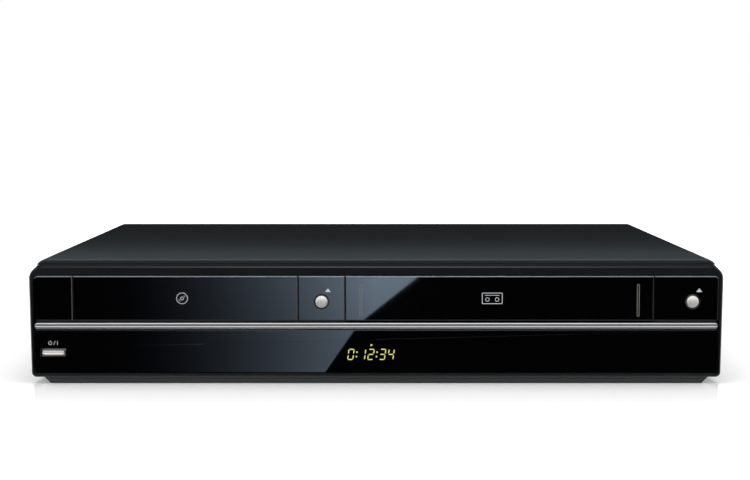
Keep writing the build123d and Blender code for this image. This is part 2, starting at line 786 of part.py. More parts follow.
shelf_top = tray_z0 - 6.0
tray_gear_x = rack_pitch_x() - tray_teeth * rack_module / 2
gear_spacing = (wheel_teeth + pinion_teeth) * wheel_module / 2
pulley_gear_x = tray_gear_x - gear_spacing
motor_x = loader_x - 30.0
pulley_radius = 7.0
motor_pulley_radius = 3.0
belt_thickness = 1.2
wheel_z0 = shelf_top + 0.4
wheel_z1 = wheel_z0 + 2.0
pinion_z0 = wheel_z1
pinion_z1 = tray_z0 + tray_runner - 0.4
belt_z = pinion_z1 - 2.0
traverse_z = disc_floor - 16.0
pivot_z = traverse_z + 1.25


def make_loader_frame():
    inner = tray_half + slide_gap
    frame = block(loader_x - loader_half, loader_x + loader_half, loader_front, loader_back, loader_floor, loader_top)
    frame = frame - block(loader_x - inner, loader_x + inner, loader_front - 1, loader_back - 2,
                          loader_floor - 1, loader_top + 1)
    ledge_z = tray_z0 - 0.2
    ledges = both_sides(lambda side: block(
        loader_x + side * (inner - 2.5) - 2.6, loader_x + side * (inner - 2.5) + 2.6,
        loader_front, loader_back - 1, ledge_z - 3.5, ledge_z))
    shelf = block(loader_x - inner - 1, loader_x + inner + 1, loader_front, tray_gear_y + 17, shelf_top - 2, shelf_top)
    rear_shelf = block(loader_x - inner - 1, loader_x + inner + 1, traverse_pivot_back + 8, loader_back,
                       loader_floor, loader_floor + 2)
    ears = both_sides(lambda side: block(
        loader_x + side * 32 - 1.5, loader_x + side * 32 + 1.5, traverse_pivot_back - 4, traverse_pivot_back + 12,
        loader_floor, pivot_z + 4))
    legs = [post(loader_x + sx * (loader_half - 5), y, floor_z1, loader_floor + 1, 4.0)
            for sx in (-1, 1) for y in (loader_front + 12, loader_back - 6)]
    pins = [post(tray_gear_x, tray_gear_y, shelf_top - 1, pinion_z1, 2.0),
            post(pulley_gear_x, tray_gear_y, shelf_top - 1, pinion_z1, 1.5)]
    holes = [bar_x(loader_x - 40, loader_x + 40, traverse_pivot_back, pivot_z, rail_radius + running),
             post(motor_x, tray_gear_y, shelf_top - 3, shelf_top + 1, 3.6)]
    keep("loader_frame", frame + ledges + [shelf, rear_shelf] + ears + legs + pins - holes)


def make_loader_gears():
    wheel = level(gear_outline(wheel_teeth, wheel_module, tray_gear_x, tray_gear_y, 0.5), wheel_z0, wheel_z1)
    pinion = level(gear_outline(tray_teeth, rack_module, tray_gear_x, tray_gear_y), pinion_z0, pinion_z1)
    bore = post(tray_gear_x, tray_gear_y, wheel_z0 - 1, pinion_z1 + 1, 2.0 + running)
    keep("tray_gear", wheel + pinion - bore)
    small = level(gear_outline(pinion_teeth, wheel_module, pulley_gear_x, tray_gear_y), wheel_z0, wheel_z1)
    pulley = post(pulley_gear_x, tray_gear_y, wheel_z1, pinion_z1, pulley_radius + 1)
    groove = post(pulley_gear_x, tray_gear_y, belt_z - 0.8, belt_z + 0.8, pulley_radius + 2)
    groove = groove - post(pulley_gear_x, tray_gear_y, belt_z - 1, belt_z + 1, pulley_radius)
    bore = post(pulley_gear_x, tray_gear_y, wheel_z0 - 1, pinion_z1 + 1, 1.5 + running)
    keep("pulley_gear", small + pulley - groove - bore)


def make_tray_motor():
    can = post(motor_x, tray_gear_y, shelf_top - 18, shelf_top - 2, 10.0)
    boss = post(motor_x, tray_gear_y, shelf_top - 2, shelf_top, 3.4)
    shaft = post(motor_x, tray_gear_y, shelf_top, pinion_z1, 0.8)
    keep("tray_motor", can + boss + shaft)
    pulley = post(motor_x, tray_gear_y, belt_z - 2, belt_z + 1.9, motor_pulley_radius + 1)
    groove = post(motor_x, tray_gear_y, belt_z - 0.8, belt_z + 0.8, motor_pulley_radius + 2)
    groove = groove - post(motor_x, tray_gear_y, belt_z - 1, belt_z + 1, motor_pulley_radius)
    bore = post(motor_x, tray_gear_y, belt_z - 3, belt_z + 3, 0.8 + running)
    keep("motor_pulley", pulley - groove - bore)


def belt_loop(extra):
    """The outline of the belt around both pulleys, grown by extra."""
    big = Pos(pulley_gear_x, tray_gear_y) * Circle(pulley_radius + extra)
    small = Pos(motor_x, tray_gear_y) * Circle(motor_pulley_radius + extra)
    return make_hull(big.edges() + small.edges())


def make_loader_belt():
    loop = belt_loop(touch_gap + belt_thickness) - belt_loop(touch_gap)
    keep("loader_belt", level(loop, belt_z - 0.5, belt_z + 0.5))


def make_clamp():
    bridge = block(loader_x - loader_half, loader_x + loader_half, spindle_y - 17, spindle_y + 17, loader_top, loader_top + 1.5)
    bridge = bridge - post(loader_x, spindle_y, loader_top - 1, loader_top + 3, clamper_radius - 1.4)
    keep("clamp_bridge", bridge)
    low = post(loader_x, spindle_y, tray_top + 0.6, tray_top + 3.4, clamper_radius)
    neck = post(loader_x, spindle_y, tray_top + 3, loader_top + 2.0, clamper_radius - 2)
    lid = post(loader_x, spindle_y, loader_top + 1.8, loader_top + 3.0, clamper_radius + 1)
    hollow = post(loader_x, spindle_y, tray_top, tray_top + 2.6, hub_radius + 0.4)
    keep("disc_clamper", low + neck + lid - hollow)


sled_y0 = spindle_y + 15.0
sled_gear_y = sled_y0 + sled_length
sled_pitch_x = loader_x + 21.75
sled_gear_x = sled_pitch_x + sled_teeth * sled_module / 2
rail_z = traverse_z + 5.0


def make_traverse():
    right = sled_gear_x + 13.0
    plate = block(loader_x - traverse_half, right, tray_gear_y + 21, traverse_pivot_back, traverse_z, traverse_z + 2.5)
    window = block(loader_x - 22.5, loader_x + 22.5, sled_y0 - 1.5, sled_y0 + sled_length + sled_travel + 1.5,
                   traverse_z - 1, traverse_z + 4)
    rod = bar_x(loader_x - 34, loader_x + 34, traverse_pivot_back, pivot_z, rail_radius)
    frame = plate - window - block(loader_x + 28, right + 1, traverse_pivot_back - 14, traverse_pivot_back + 1,
                                   traverse_z - 1, traverse_z + 4) + rod
    rests = []
    for side in (-1, 1):
        for y in (sled_y0 - 4.5, sled_y0 + sled_length + sled_travel + 1.0):
            rests.append(block(loader_x + side * 17 - 2.4, loader_x + side * 17 + 2.4, y, y + 3.0, traverse_z, rail_z + 2.2))
    rails = []
    rail_holes = []
    for side in (-1, 1):
        ends = (sled_y0 - 4.0, sled_y0 + sled_length + sled_travel + 3.5)
        rails.append(bar_y(loader_x + side * 17, rail_z, ends[0], ends[1], rail_radius))
        rail_holes.append(bar_y(loader_x + side * 17, rail_z, ends[0], ends[1], rail_radius))
    gear_hole = post(sled_gear_x, sled_gear_y, traverse_z - 1, traverse_z + 4, 1.5)
    keep("traverse_frame", frame + rests - rail_holes - [gear_hole])
    keep("sled_rails", *rails)


def make_spindle():
    motor = post(loader_x, spindle_y, traverse_z + 2.5, disc_floor - 2.0, 13.0)
    shaft = post(loader_x, spindle_y, disc_floor - 2.0, disc_floor + 1.0, 1.0)
    keep("spindle_motor", motor + shaft)
    seat = disc_floor + 1.2
    table = post(loader_x, spindle_y, disc_floor - 1.6, seat, turntable_radius)
    hub = post(loader_x, spindle_y, seat, seat + 1.8, hub_radius)
    hub = chamfer(hub.edges().group_by(Axis.Z)[-1], 0.9)
    grip = post(loader_x, spindle_y, seat - 0.4, seat + 1, turntable_radius + 1) - post(
        loader_x, spindle_y, seat - 1, seat + 2, turntable_radius - 2.2)
    bore = post(loader_x, spindle_y, disc_floor - 3, disc_floor + 1.2, 1.0 + running)
    keep("turntable", table - grip + hub - bore)


def make_sled():
    body = block(loader_x - 20, loader_x + 20, sled_y0, sled_y0 + sled_length, rail_z - 2.4, rail_z + 3.2)
    lens_y = sled_y0 + sled_length / 2
    lens = post(loader_x, lens_y, rail_z + 3, rail_z + 4.6, 4.5)
    guard = block(loader_x - 9, loader_x + 9, lens_y - 8, lens_y + 8, rail_z + 3, rail_z + 3.8)
    holes = [bar_y(loader_x + side * 17, rail_z, sled_y0 - 1, sled_y0 + sled_length + 1, rail_radius + running)
             for side in (-1, 1)]
    pitch = math.pi * sled_module
    count_front = int(sled_travel / pitch) + 2
    rack = rack_outline(sled_pitch_x, 1, sled_gear_y, count_front, 2, sled_module, 1.1)
    rack = level(rack, rail_z - 0.6, rail_z + 2.4)
    keep("laser_sled", body + lens + guard - holes + rack)
    gear = level(gear_outline(sled_teeth, sled_module, sled_gear_x, sled_gear_y), rail_z - 1.0, rail_z + 2.8)
    keep("sled_gear", gear - post(sled_gear_x, sled_gear_y, rail_z - 2, rail_z + 4, 1.0 + running))
    motor = post(sled_gear_x, sled_gear_y, traverse_z - 8, traverse_z, 6.0)
    shaft = post(sled_gear_x, sled_gear_y, traverse_z, rail_z + 3.2, 1.0)
    keep("sled_motor", motor + shaft)


# ---------------------------------------------------------------- cassette deck
guide_start = (28.0, -45.0)
guide_end = (46.0, 15.0)
pinch_pivot = (capstan_x + 20.0, capstan_y + 18.0)
pinch_closed = (capstan_x + capstan_radius + pinch_radius + 0.4, capstan_y)
mode_x = deck_x - mode_from_middle
mode_y = drum_y + 8.0
mode_teeth = 36
deck_pinion_teeth = 12
deck_module = 1.0


def pinch_open():
    """The open place of the pinch roller: turned about the lever's pivot away from the capstan."""
    angle = math.radians(pinch_open_angle)
    dx = pinch_closed[0] - pinch_pivot[0]
    dy = pinch_closed[1] - pinch_pivot[1]
    return (pinch_pivot[0] + dx * math.cos(angle) - dy * math.sin(angle),
            pinch_pivot[1] + dx * math.sin(angle) + dy * math.cos(angle))


def pinion_place():
    """The motor pinion beside the mode gear, on a line that leans forward."""
    reach = (mode_teeth + deck_pinion_teeth) * deck_module / 2
    return mode_x, mode_y - reach


def deck_legs():
    return [(deck_x + sx * (deck_half - 8), y) for sx in (-1, 1) for y in (deck_front + 8, deck_back - 8)]


def make_deck_chassis():
    plate = block(deck_x - deck_half, deck_x + deck_half, deck_front, deck_back, deck_top - deck_plate, deck_top)
    legs = [post(x, y, floor_z1, deck_top - deck_plate + 0.5, 4.0) for x, y in deck_legs()]
    pins = [post(deck_x + side * reel_offset, reel_y, deck_top - 1, deck_top + 10, 2.0) for side in (-1, 1)]
    pins.append(post(pinch_pivot[0], pinch_pivot[1], deck_top - 1, deck_top + 8, 2.0))
    pins.append(post(mode_x, mode_y, deck_top - 1, deck_top + 7, 2.5))
    boss = post(capstan_x, capstan_y, deck_top - deck_plate, deck_top + pinch_rise - touch_gap * 2, 4.5)
    cuts = []
    for side in (-1, 1):
        slit = slot_outline(deck_x + side * guide_start[0], drum_y + guide_start[1],
                            deck_x + side * guide_end[0], drum_y + guide_end[1], 2.4)
        cuts.append(level(slit, deck_top - 4, deck_top + 1))
    bore = post(capstan_x, capstan_y, deck_top - 4, deck_top + 11, capstan_radius + running)
    px, py = pinion_place()
    cuts.append(post(px, py, deck_top - 4, deck_top + 1, 3.4))
    keep("deck_chassis", plate + legs + pins + [boss] - cuts - [bore])


def drum_frame():
    """The tilted frame of the drum, on the deck."""
    return Pos(deck_x, front_y + drum_y, deck_top + 6) * Rot(-drum_tilt, 0, 0)


def make_drum():
    base = post(deck_x, drum_y, deck_top, deck_top + 8, 24.0)
    low = drum_frame() * Pos(0, 0, 6) * Cylinder(drum_radius, 12)
    shaft = drum_frame() * Pos(0, 0, 22) * Cylinder(3, 24)
    low = low - post(deck_x, drum_y, deck_top - 4, deck_top, drum_radius + 3)
    keep("lower_drum", base + low + shaft)
    upper = drum_frame() * Pos(0, 0, 19) * Cylinder(drum_radius, 13)
    upper = chamfer(upper.edges().group_by(Axis.Z)[-1], 0.8)
    rotor = drum_frame() * Pos(0, 0, 28) * Cylinder(21, 5)
    bore = drum_frame() * Pos(0, 0, 22) * Cylinder(3 + running, 30)
    keep("head_drum", upper + rotor - bore)


def make_capstan():
    stator = block(capstan_x - 28, capstan_x + 28, capstan_y - 28, capstan_y + 28, 9.0, 9.0 + board_thickness)
    coils = post(capstan_x, capstan_y, 9.0, deck_top - deck_plate - 4.0, 22.0)
    bore = post(capstan_x, capstan_y, 8, deck_top, capstan_radius + running)
    legs = [post(capstan_x + sx * 25, capstan_y + sy * 25, floor_z1, 9.5, 3.0) for sx in (-1, 1) for sy in (-1, 1)]
    keep("capstan_motor", stator + coils + legs - bore)
    wheel = post(capstan_x, capstan_y, deck_top - deck_plate - 3.6, deck_top - deck_plate - 0.4, 27.0)
    shaft = post(capstan_x, capstan_y, 10.0, deck_top + 27, capstan_radius)
    keep("capstan", wheel + shaft)


def make_reels():
    for name, side in (("supply_reel", -1), ("takeup_reel", 1)):
        x = deck_x + side * reel_offset
        table = post(x, reel_y, deck_top + 0.4, deck_top + 3.4, 20.0)
        hub = post(x, reel_y, deck_top + 3, deck_top + 12, 8.0)
        splines = []
        for turn in range(3):
            fin = Pos(0, 9, deck_top + 7) * Box(2, 3, 7)
            splines.append(Pos(x, front_y + reel_y, 0) * Rot(0, 0, 120 * turn) * fin)
        bore = post(x, reel_y, deck_top, deck_top + 10.6, 2.0 + running)
        keep(name, table + [hub] + splines - bore)


def make_pinch():
    open_x, open_y = pinch_open()
    arm = slot_outline(pinch_pivot[0], pinch_pivot[1], open_x, open_y, 3.6)
    arm = level(arm, deck_top + 1.5, deck_top + 3.5)
    pin = post(open_x, open_y, deck_top + 3, deck_top + pinch_rise + pinch_height + 2, 1.5)
    bore = post(pinch_pivot[0], pinch_pivot[1], deck_top, deck_top + 5, 2.0 + running)
    keep("pinch_lever", arm + pin - bore)
    roller = post(open_x, open_y, deck_top + pinch_rise, deck_top + pinch_rise + pinch_height, pinch_radius)
    keep("pinch_roller", roller - post(open_x, open_y, deck_top, deck_top + 25, 1.5 + running))


def make_holder():
    outer = holder_half + holder_wall
    top = block(deck_x - outer, deck_x + outer, holder_front, holder_back, holder_z1, holder_z1 + holder_wall)
    sides = both_sides(lambda side: block(
        deck_x + side * (holder_half + holder_wall / 2) - holder_wall / 2,
        deck_x + side * (holder_half + holder_wall / 2) + holder_wall / 2,
        holder_front, holder_back, holder_z0 - holder_wall, holder_z1 + holder_wall))
    flanges = both_sides(lambda side: block(
        deck_x + side * (outer - holder_flange / 2) - holder_flange / 2,
        deck_x + side * (outer - holder_flange / 2) + holder_flange / 2,
        holder_front, holder_back, holder_z0 - holder_wall, holder_z0))
    studs = []
    reach = guide_half + guide_wall + 0.4
    for side in (-1, 1):
        for y in stud_y:
            xs = (deck_x + side * (outer - 0.5), deck_x + side * reach)
            studs.append(bar_x(min(xs), max(xs), y, stud_z, holder_stud_radius))
    window = block(deck_x - 40, deck_x + 40, holder_front + 30, holder_back - 20, holder_z1 - 1, holder_z1 + 3)
    keep("cassette_holder", top + sides + flanges + studs - window)


def make_carriage():
    slot_gap = holder_stud_radius + 0.3
    plates = []
    for side in (-1, 1):
        middle = deck_x + side * (carriage_half + holder_wall / 2)
        plate = block(middle - holder_wall / 2, middle + holder_wall / 2, stud_y[0] - 6, stud_y[1] + 6,
                      stud_z - holder_drop - 5, holder_z1 + 4.0)
        for y in stud_y:
            slit = slot_outline(y, stud_z - holder_drop, y, stud_z, slot_gap)
            plate = plate - sideways(slit, middle - 2, middle + 2)
        plates.append(plate)
    reach = carriage_half + holder_wall
    bridge = block(deck_x - reach, deck_x + reach, holder_front + 45, holder_front + 60, holder_z1 + 2.8, holder_z1 + 4.0)
    keep("holder_carriage", bridge + plates)


def make_guides():
    guides = []
    for side in (-1, 1):
        middle = deck_x + side * (guide_half + guide_wall / 2)
        plate = block(middle - guide_wall / 2, middle + guide_wall / 2, deck_front, holder_back + carriage_travel,
                      deck_top, holder_z1 + 2.0)
        window = block(middle - 3, middle + 3, stud_y[0] - 2.2, stud_y[1] + carriage_travel + 2.2,
                       stud_z - holder_drop - 2.2, stud_z + 2.2)
        guides.append(plate - window)
    keep("carriage_guides", *guides)


def make_tape_guides():
    for name, side in (("supply_guide", -1), ("takeup_guide", 1)):
        x = deck_x + side * guide_start[0]
        y = drum_y + guide_start[1]
        base = post(x, y, deck_top + 0.3, deck_top + 4, 5.6)
        tongue = post(x, y, deck_top - 3, deck_top + 1, 1.9)
        pole = post(x, y, deck_top + 4, deck_top + 24, 1.5)
        roller = post(x, y, deck_top + 6, deck_top + 22, 3.0)
        keep(name, base + tongue + pole + roller)


def make_heads():
    for name, side, height in (("erase_head", -1, 16.0), ("audio_head", 1, 20.0)):
        x = deck_x + side * 52.0
        y = capstan_y + 5.0
        head = block(x - 4.5, x + 4.5, y - 4, y + 4, deck_top + 5, deck_top + height)
        head = fillet(head.edges().filter_by(Axis.Z), 1.2)
        keep(name, head + post(x, y, deck_top, deck_top + 6, 3.0))


def make_mode_drive():
    gear = level(gear_outline(mode_teeth, deck_module, mode_x, mode_y, 0.25), deck_top + 0.6, deck_top + 4.6)
    gear = gear - post(mode_x, mode_y, deck_top, deck_top + 6, 2.5 + running)
    cam = slot_outline(mode_x - 8, mode_y, mode_x - 8, mode_y + 6, 2.0)
    keep("mode_gear", gear - level(cam, deck_top + 3, deck_top + 6))
    px, py = pinion_place()
    pinion = level(gear_outline(deck_pinion_teeth, deck_module, px, py, 0.25), deck_top + 0.8, deck_top + 5.4)
    keep("deck_pinion", pinion - post(px, py, deck_top, deck_top + 7, 1.2 + running))
    motor = post(px, py, floor_z1 + 1.0, deck_top - deck_plate, 9.5)
    neck = post(px, py, deck_top - deck_plate, deck_top, 3.2)
    shaft = post(px, py, deck_top, deck_top + 6, 1.2)
    keep("deck_motor", motor + neck + shaft)


# ---------------------------------------------------------------- electronics
def board_places(x0, x1, back):
    """The screws of a board, set in from its corners."""
    inset = board_screw_inset
    return [(x, y) for x in (x0 + inset, x1 - inset) for y in (board_y0 + inset, back - inset)]


def main_board_screws():
    near = board_places(main_board_x0, board_split_x, main_board_back)
    return near[:3] + [(chassis_half - 2 * board_screw_inset, main_board_back - board_screw_inset)]


def power_board_screws():
    return board_places(power_board_x0, power_board_x1, power_board_back)


def board_legs(places):
    return [post(x, y, floor_z1, board_z, board_leg_radius) for x, y in places]


def chip_at(place, size_x, size_y):
    x = main_board_x0 + place[0]
    y = board_y0 + place[1]
    return block(x - size_x / 2, x + size_x / 2, y - size_y / 2, y + size_y / 2, board_top, board_top + chip_height)


def make_main_board():
    board = block(main_board_x0, board_split_x, board_y0, main_board_back, board_z, board_top)
    board = board + block(main_board_x0, chassis_half - board_side_gap, deck_back + board_gap, main_board_back,
                          board_z, board_top)
    chips = [chip_at(large_chip_place, large_chip, large_chip), chip_at(small_chip_place, *small_chip)]
    cans = [post(main_board_x0 + small_cans_from_side + small_can_pitch * step, board_y0 + small_cans_from_front,
                 board_top, board_top + small_can_height, small_can_radius) for step in range(can_count)]
    keep("main_board", board + chips + cans + board_legs(main_board_screws()))


def make_power_board():
    x0 = power_board_x0
    board = block(x0, power_board_x1, board_y0, power_board_back, board_z, board_top)
    x = x0 + transformer_from_side
    y = board_y0 + transformer_from_front
    transformer = block(x - transformer_width / 2, x + transformer_width / 2, y - transformer_depth / 2,
                        y + transformer_depth / 2, board_top, board_top + transformer_height)
    core = block(x - core_width / 2, x + core_width / 2, y - core_depth / 2, y + core_depth / 2,
                 board_top, board_top + core_height)
    mains_can = post(x0 + mains_can_from_side, board_y0 + mains_can_from_front, board_top,
                     board_top + mains_can_height, mains_can_radius)
    cans = [post(x0 + cans_from_side + can_pitch * step, board_y0 + cans_from_front, board_top,
                 board_top + can_height, can_radius) for step in range(can_count)]
    sink_x = x0 + sink_from_side
    sink_y = board_y0 + sink_from_front
    sink_width = sink_pitch * (sink_fins - 1) + sink_fin
    sink = [block(sink_x, sink_x + sink_width, sink_y, sink_y + sink_wall, board_top, board_top + sink_height)]
    for step in range(sink_fins):
        fin_x = sink_x + sink_pitch * step
        sink.append(block(fin_x, fin_x + sink_fin, sink_y + sink_wall / 2, sink_y + sink_depth, board_top,
                          board_top + sink_height))
    keep("power_board", board + [transformer, core, mains_can] + cans + sink + board_legs(power_board_screws()))


def make_inner_screws():
    screws = []
    for x, y in main_board_screws() + power_board_screws():
        screws.append(screw_short(x, y, board_top))
    for x, y in deck_legs():
        screws.append(screw_short(x, y, deck_top))
    keep("inner_screws", *screws)


def screw_short(x, y, z):
    """An upright screw head on a board or plate."""
    head = fillet(post(x, y, z, z + screw_head, screw_head_radius).edges().group_by(Axis.Z)[-1], screw_head * 0.6)
    cross = block(x - 0.4, x + 0.4, y - 1.6, y + 1.6, z + screw_head - 0.6, z + screw_head + 1)
    return head - cross - block(x - 1.6, x + 1.6, y - 0.4, y + 0.4, z + screw_head - 0.6, z + screw_head + 1)


def make_jacks():
    tip = body_depth + jack_reach
    barrels = []
    for x, z in jack_places():
        barrel = bar_y(x, z, rear_inner - 5, tip, jack_radius)
        barrels.append(barrel - bar_y(x, z, tip - 9, tip + 1, jack_bore))
    x0 = jack_places()[0][0] - jack_pitch / 2
    x1 = jack_places()[-1][0] + jack_pitch / 2
    base = block(x0, x1, rear_inner - jack_block_depth, rear_inner - touch_gap, board_top, jack_places()[1][1] + 8)
    keep("phono_jacks", base + barrels)


def make_signal_sockets():
    sockets = []
    for x, z in socket_places():
        body = block(x - socket_half, x + socket_half, rear_inner - socket_depth, rear_outer + 1.0,
                     z - socket_half, z + socket_half)
        pins = [bar_y(x + side * 1.8, z, rear_outer - 7, rear_outer - 1, 0.6) for side in (-1, 1)]
        sockets.append(body - bar_y(x, z, rear_outer - 6, rear_outer + 2, socket_bore) + pins)
    keep("signal_sockets", *sockets)


def make_tuner():
    x0, x1, z0, z1 = tuner_box()
    can = block(x0, x1, rear_inner - tuner_depth, rear_inner - touch_gap, z0, z1)
    tip = body_depth + jack_reach - 1
    for x, z in aerial_places():
        can = can + (bar_y(x, z, rear_inner - 1, tip, aerial_radius) - bar_y(x, z, tip - 9, tip + 1, aerial_bore))
        can = can + bar_y(x, z, tip - 10, tip - 2, 0.8)
    keep("tuner_module", can)


def make_mains_inlet():
    half = inlet_width / 2
    body = block(inlet_x - half, inlet_x + half, rear_inner - inlet_depth, rear_outer + 1.5,
                 inlet_z - inlet_height / 2, inlet_z + inlet_height / 2)
    slot = slot_outline(inlet_x - inlet_pin_step, inlet_z, inlet_x + inlet_pin_step, inlet_z, inlet_bore)
    cavity = upright(slot, rear_outer - 12, rear_outer + 3)
    pins = [bar_y(inlet_x + side * inlet_pin_step, inlet_z, rear_outer - 13, rear_outer - 2, 1.2) for side in (-1, 1)]
    keep("mains_inlet", body - cavity + pins)


def main():
    make_feet()
    make_top_cover()
    make_bottom_chassis()
    make_rear_panel()
    make_case_screws()
    make_front_bezel()
    make_tiles()
    make_lower_fascia()
    make_trim_strip()
    make_door()
    make_buttons()
    make_front_board()
    make_tray()
    make_tray_cap()
    make_loader_frame()
    make_loader_gears()
    make_tray_motor()
    make_loader_belt()
    make_clamp()
    make_traverse()
    make_spindle()
    make_sled()
    make_deck_chassis()
    make_drum()
    make_capstan()
    make_reels()
    make_pinch()
    make_holder()
    make_carriage()
    make_guides()
    make_tape_guides()
    make_heads()
    make_mode_drive()
    make_main_board()
    make_power_board()
    make_inner_screws()
    make_jacks()
    make_signal_sockets()
    make_tuner()
    make_mains_inlet()
    os.makedirs("parts", exist_ok=True)
    for name, shape in parts.items():
        export_step(shape, f"parts/{name}.step")


main()
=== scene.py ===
import math
from collections import namedtuple

import bmesh
import bpy
from bpy.props import FloatProperty, PointerProperty, StringProperty
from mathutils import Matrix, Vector


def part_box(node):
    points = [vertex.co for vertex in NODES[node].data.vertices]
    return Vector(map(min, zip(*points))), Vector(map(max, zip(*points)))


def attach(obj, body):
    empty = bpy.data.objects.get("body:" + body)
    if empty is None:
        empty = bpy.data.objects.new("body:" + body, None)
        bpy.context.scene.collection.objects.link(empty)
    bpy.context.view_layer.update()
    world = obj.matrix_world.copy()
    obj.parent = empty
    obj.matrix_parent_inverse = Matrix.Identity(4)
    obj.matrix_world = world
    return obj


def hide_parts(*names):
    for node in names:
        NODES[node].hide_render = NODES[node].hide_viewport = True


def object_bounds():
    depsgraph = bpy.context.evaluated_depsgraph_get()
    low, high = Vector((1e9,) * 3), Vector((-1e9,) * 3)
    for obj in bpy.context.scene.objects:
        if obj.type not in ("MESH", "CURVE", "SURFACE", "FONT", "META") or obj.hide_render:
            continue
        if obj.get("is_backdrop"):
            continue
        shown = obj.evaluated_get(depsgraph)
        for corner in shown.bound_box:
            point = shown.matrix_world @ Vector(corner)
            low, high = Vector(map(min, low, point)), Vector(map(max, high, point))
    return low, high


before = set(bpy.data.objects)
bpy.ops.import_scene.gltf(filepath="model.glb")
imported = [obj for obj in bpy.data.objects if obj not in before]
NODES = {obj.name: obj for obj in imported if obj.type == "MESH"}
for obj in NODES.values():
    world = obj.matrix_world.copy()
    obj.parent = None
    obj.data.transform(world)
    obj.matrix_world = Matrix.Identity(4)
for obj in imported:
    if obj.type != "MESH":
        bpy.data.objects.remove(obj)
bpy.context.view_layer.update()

bl_info = {
    "name": "Disc and Cassette Player",
    "version": (1, 0, 0),
    "blender": (4, 5, 0),
    "location": "View3D > Sidebar > Player",
    "description": "Dresses a disc and cassette player: finishes, printed marks, display and sockets",
    "category": "Object",
}

MM = 0.001
FACE_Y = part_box("lower_fascia")[0].y


# --- colours and shader nodes
def linear(hex_code, alpha=1.0):
    """An sRGB hex colour as the linear values that shaders take."""
    channels = [int(hex_code[i:i + 2], 16) / 255 for i in (1, 3, 5)]
    straight = [c / 12.92 if c <= 0.04045 else ((c + 0.055) / 1.055) ** 2.4 for c in channels]
    return (*straight, alpha)


def add_node(tree, kind, settings=None, links=None):
    """Adds one shader node; settings are its properties or sockets, links are socket to output."""
    node = tree.nodes.new(kind)
    for key, value in (settings or {}).items():
        if isinstance(key, int) or key in node.inputs:
            node.inputs[key].default_value = value
        else:
            setattr(node, key, value)
    for key, output in (links or {}).items():
        tree.links.new(output, node.inputs[key])
    return node


def empty_tree(owner):
    """The node tree of a material or a world, turned on and cleared."""
    owner.use_nodes = True
    owner.node_tree.nodes.clear()
    return owner.node_tree


def calculate(tree, operation, first, second=None):
    """One sum on outputs or plain numbers."""
    node = tree.nodes.new("ShaderNodeMath")
    node.operation = operation
    for socket, value in ((0, first), (1, second)):
        if isinstance(value, (int, float)):
            node.inputs[socket].default_value = value
        elif value is not None:
            tree.links.new(value, node.inputs[socket])
    return node.outputs["Value"]


def remap(tree, value, start, end):
    """An output carried from one range to another and clamped to it."""
    node = add_node(tree, "ShaderNodeMapRange", {
        "From Min": start[0], "From Max": start[1], "To Min": end[0], "To Max": end[1]}, {"Value": value})
    return node.outputs["Result"]


def mix_hues(tree, share, low_hex, high_hex):
    """The colour that lies between two at a share."""
    mix = add_node(tree, "ShaderNodeMix", {"data_type": "RGBA"}, {"Factor": share})
    mix.inputs["A"].default_value = linear(low_hex)
    mix.inputs["B"].default_value = linear(high_hex)
    return mix.outputs["Result"]


Look = namedtuple("Look", "material tree shader place")


def new_look(name, hex_code, roughness, metallic=0.0, ior=1.5, **sockets):
    """A named material with its principled shader and the object coordinates."""
    material = bpy.data.materials.new(name)
    tree = empty_tree(material)
    shader = add_node(tree, "ShaderNodeBsdfPrincipled", {
        "Base Color": linear(hex_code), "Roughness": roughness, "Metallic": metallic})
    if not metallic:
        shader.inputs["IOR"].default_value = ior
    for key, value in sockets.items():
        shader.inputs[key.replace("_", " ")].default_value = value
    add_node(tree, "ShaderNodeOutputMaterial", links={"Surface": shader.outputs["BSDF"]})
    return Look(material, tree, shader, add_node(tree, "ShaderNodeTexCoord").outputs["Object"])


def cloud(look, place, size_mm, detail, **settings):
    """A noise whose features have a real size."""
    noise = add_node(look.tree, "ShaderNodeTexNoise",
                     {"Scale": 1 / (size_mm * MM), "Detail": detail, **settings}, {"Vector": place})
    return noise.outputs["Fac"]


def feed(look, socket, output):
    look.tree.links.new(output, look.shader.inputs[socket])


def new_finish(name, hex_code, roughness, grain_mm, rough=None, stretch=(1, 1, 1), detail=2.0, tint=None,
               **shading):
    """A material with a bumpy grain of a real size and height; rough is a range of roughness that follows
    the grain, and tint a slow drift between two close colours, with its size in millimetres."""
    look = new_look(name, hex_code, roughness, **shading)
    size_mm, height_mm = grain_mm
    mapped = add_node(look.tree, "ShaderNodeMapping", {"Scale": stretch}, {"Vector": look.place})
    noise = cloud(look, mapped.outputs["Vector"], size_mm, detail, Roughness=0.55)
    bump = add_node(look.tree, "ShaderNodeBump", {"Distance": height_mm * MM, "Strength": 1.0},
                    {"Height": noise})
    feed(look, "Normal", bump.outputs["Normal"])
    if rough:
        feed(look, "Roughness", remap(look.tree, noise, (0.0, 1.0), rough))
    if tint:
        low_hex, high_hex, drift_mm = tint
        drift = cloud(look, look.place, drift_mm, 3.0)
        feed(look, "Base Color", mix_hues(look.tree, drift, low_hex, high_hex))
    return look.material


# --- finishes, one function each
def cover_powder_coat(settings):
    """Powder-coated sheet steel: a fine orange-peel texture that softens every reflection."""
    return new_finish(
        "powder_coat_black", settings.cover_hex, 0.36, (0.9, 0.008), (0.32, 0.40), detail=3.0,
        tint=("#171A1B", "#1B1F21", 60.0), ior=1.36)


def bezel_moulding(settings):
    """Moulded ABS with a polished tool: deep black, a broad soft sheen and a faint sink."""
    return new_finish("polished_abs_black", settings.bezel_hex, 0.2, (24.0, 0.006), (0.17, 0.23), ior=1.47)


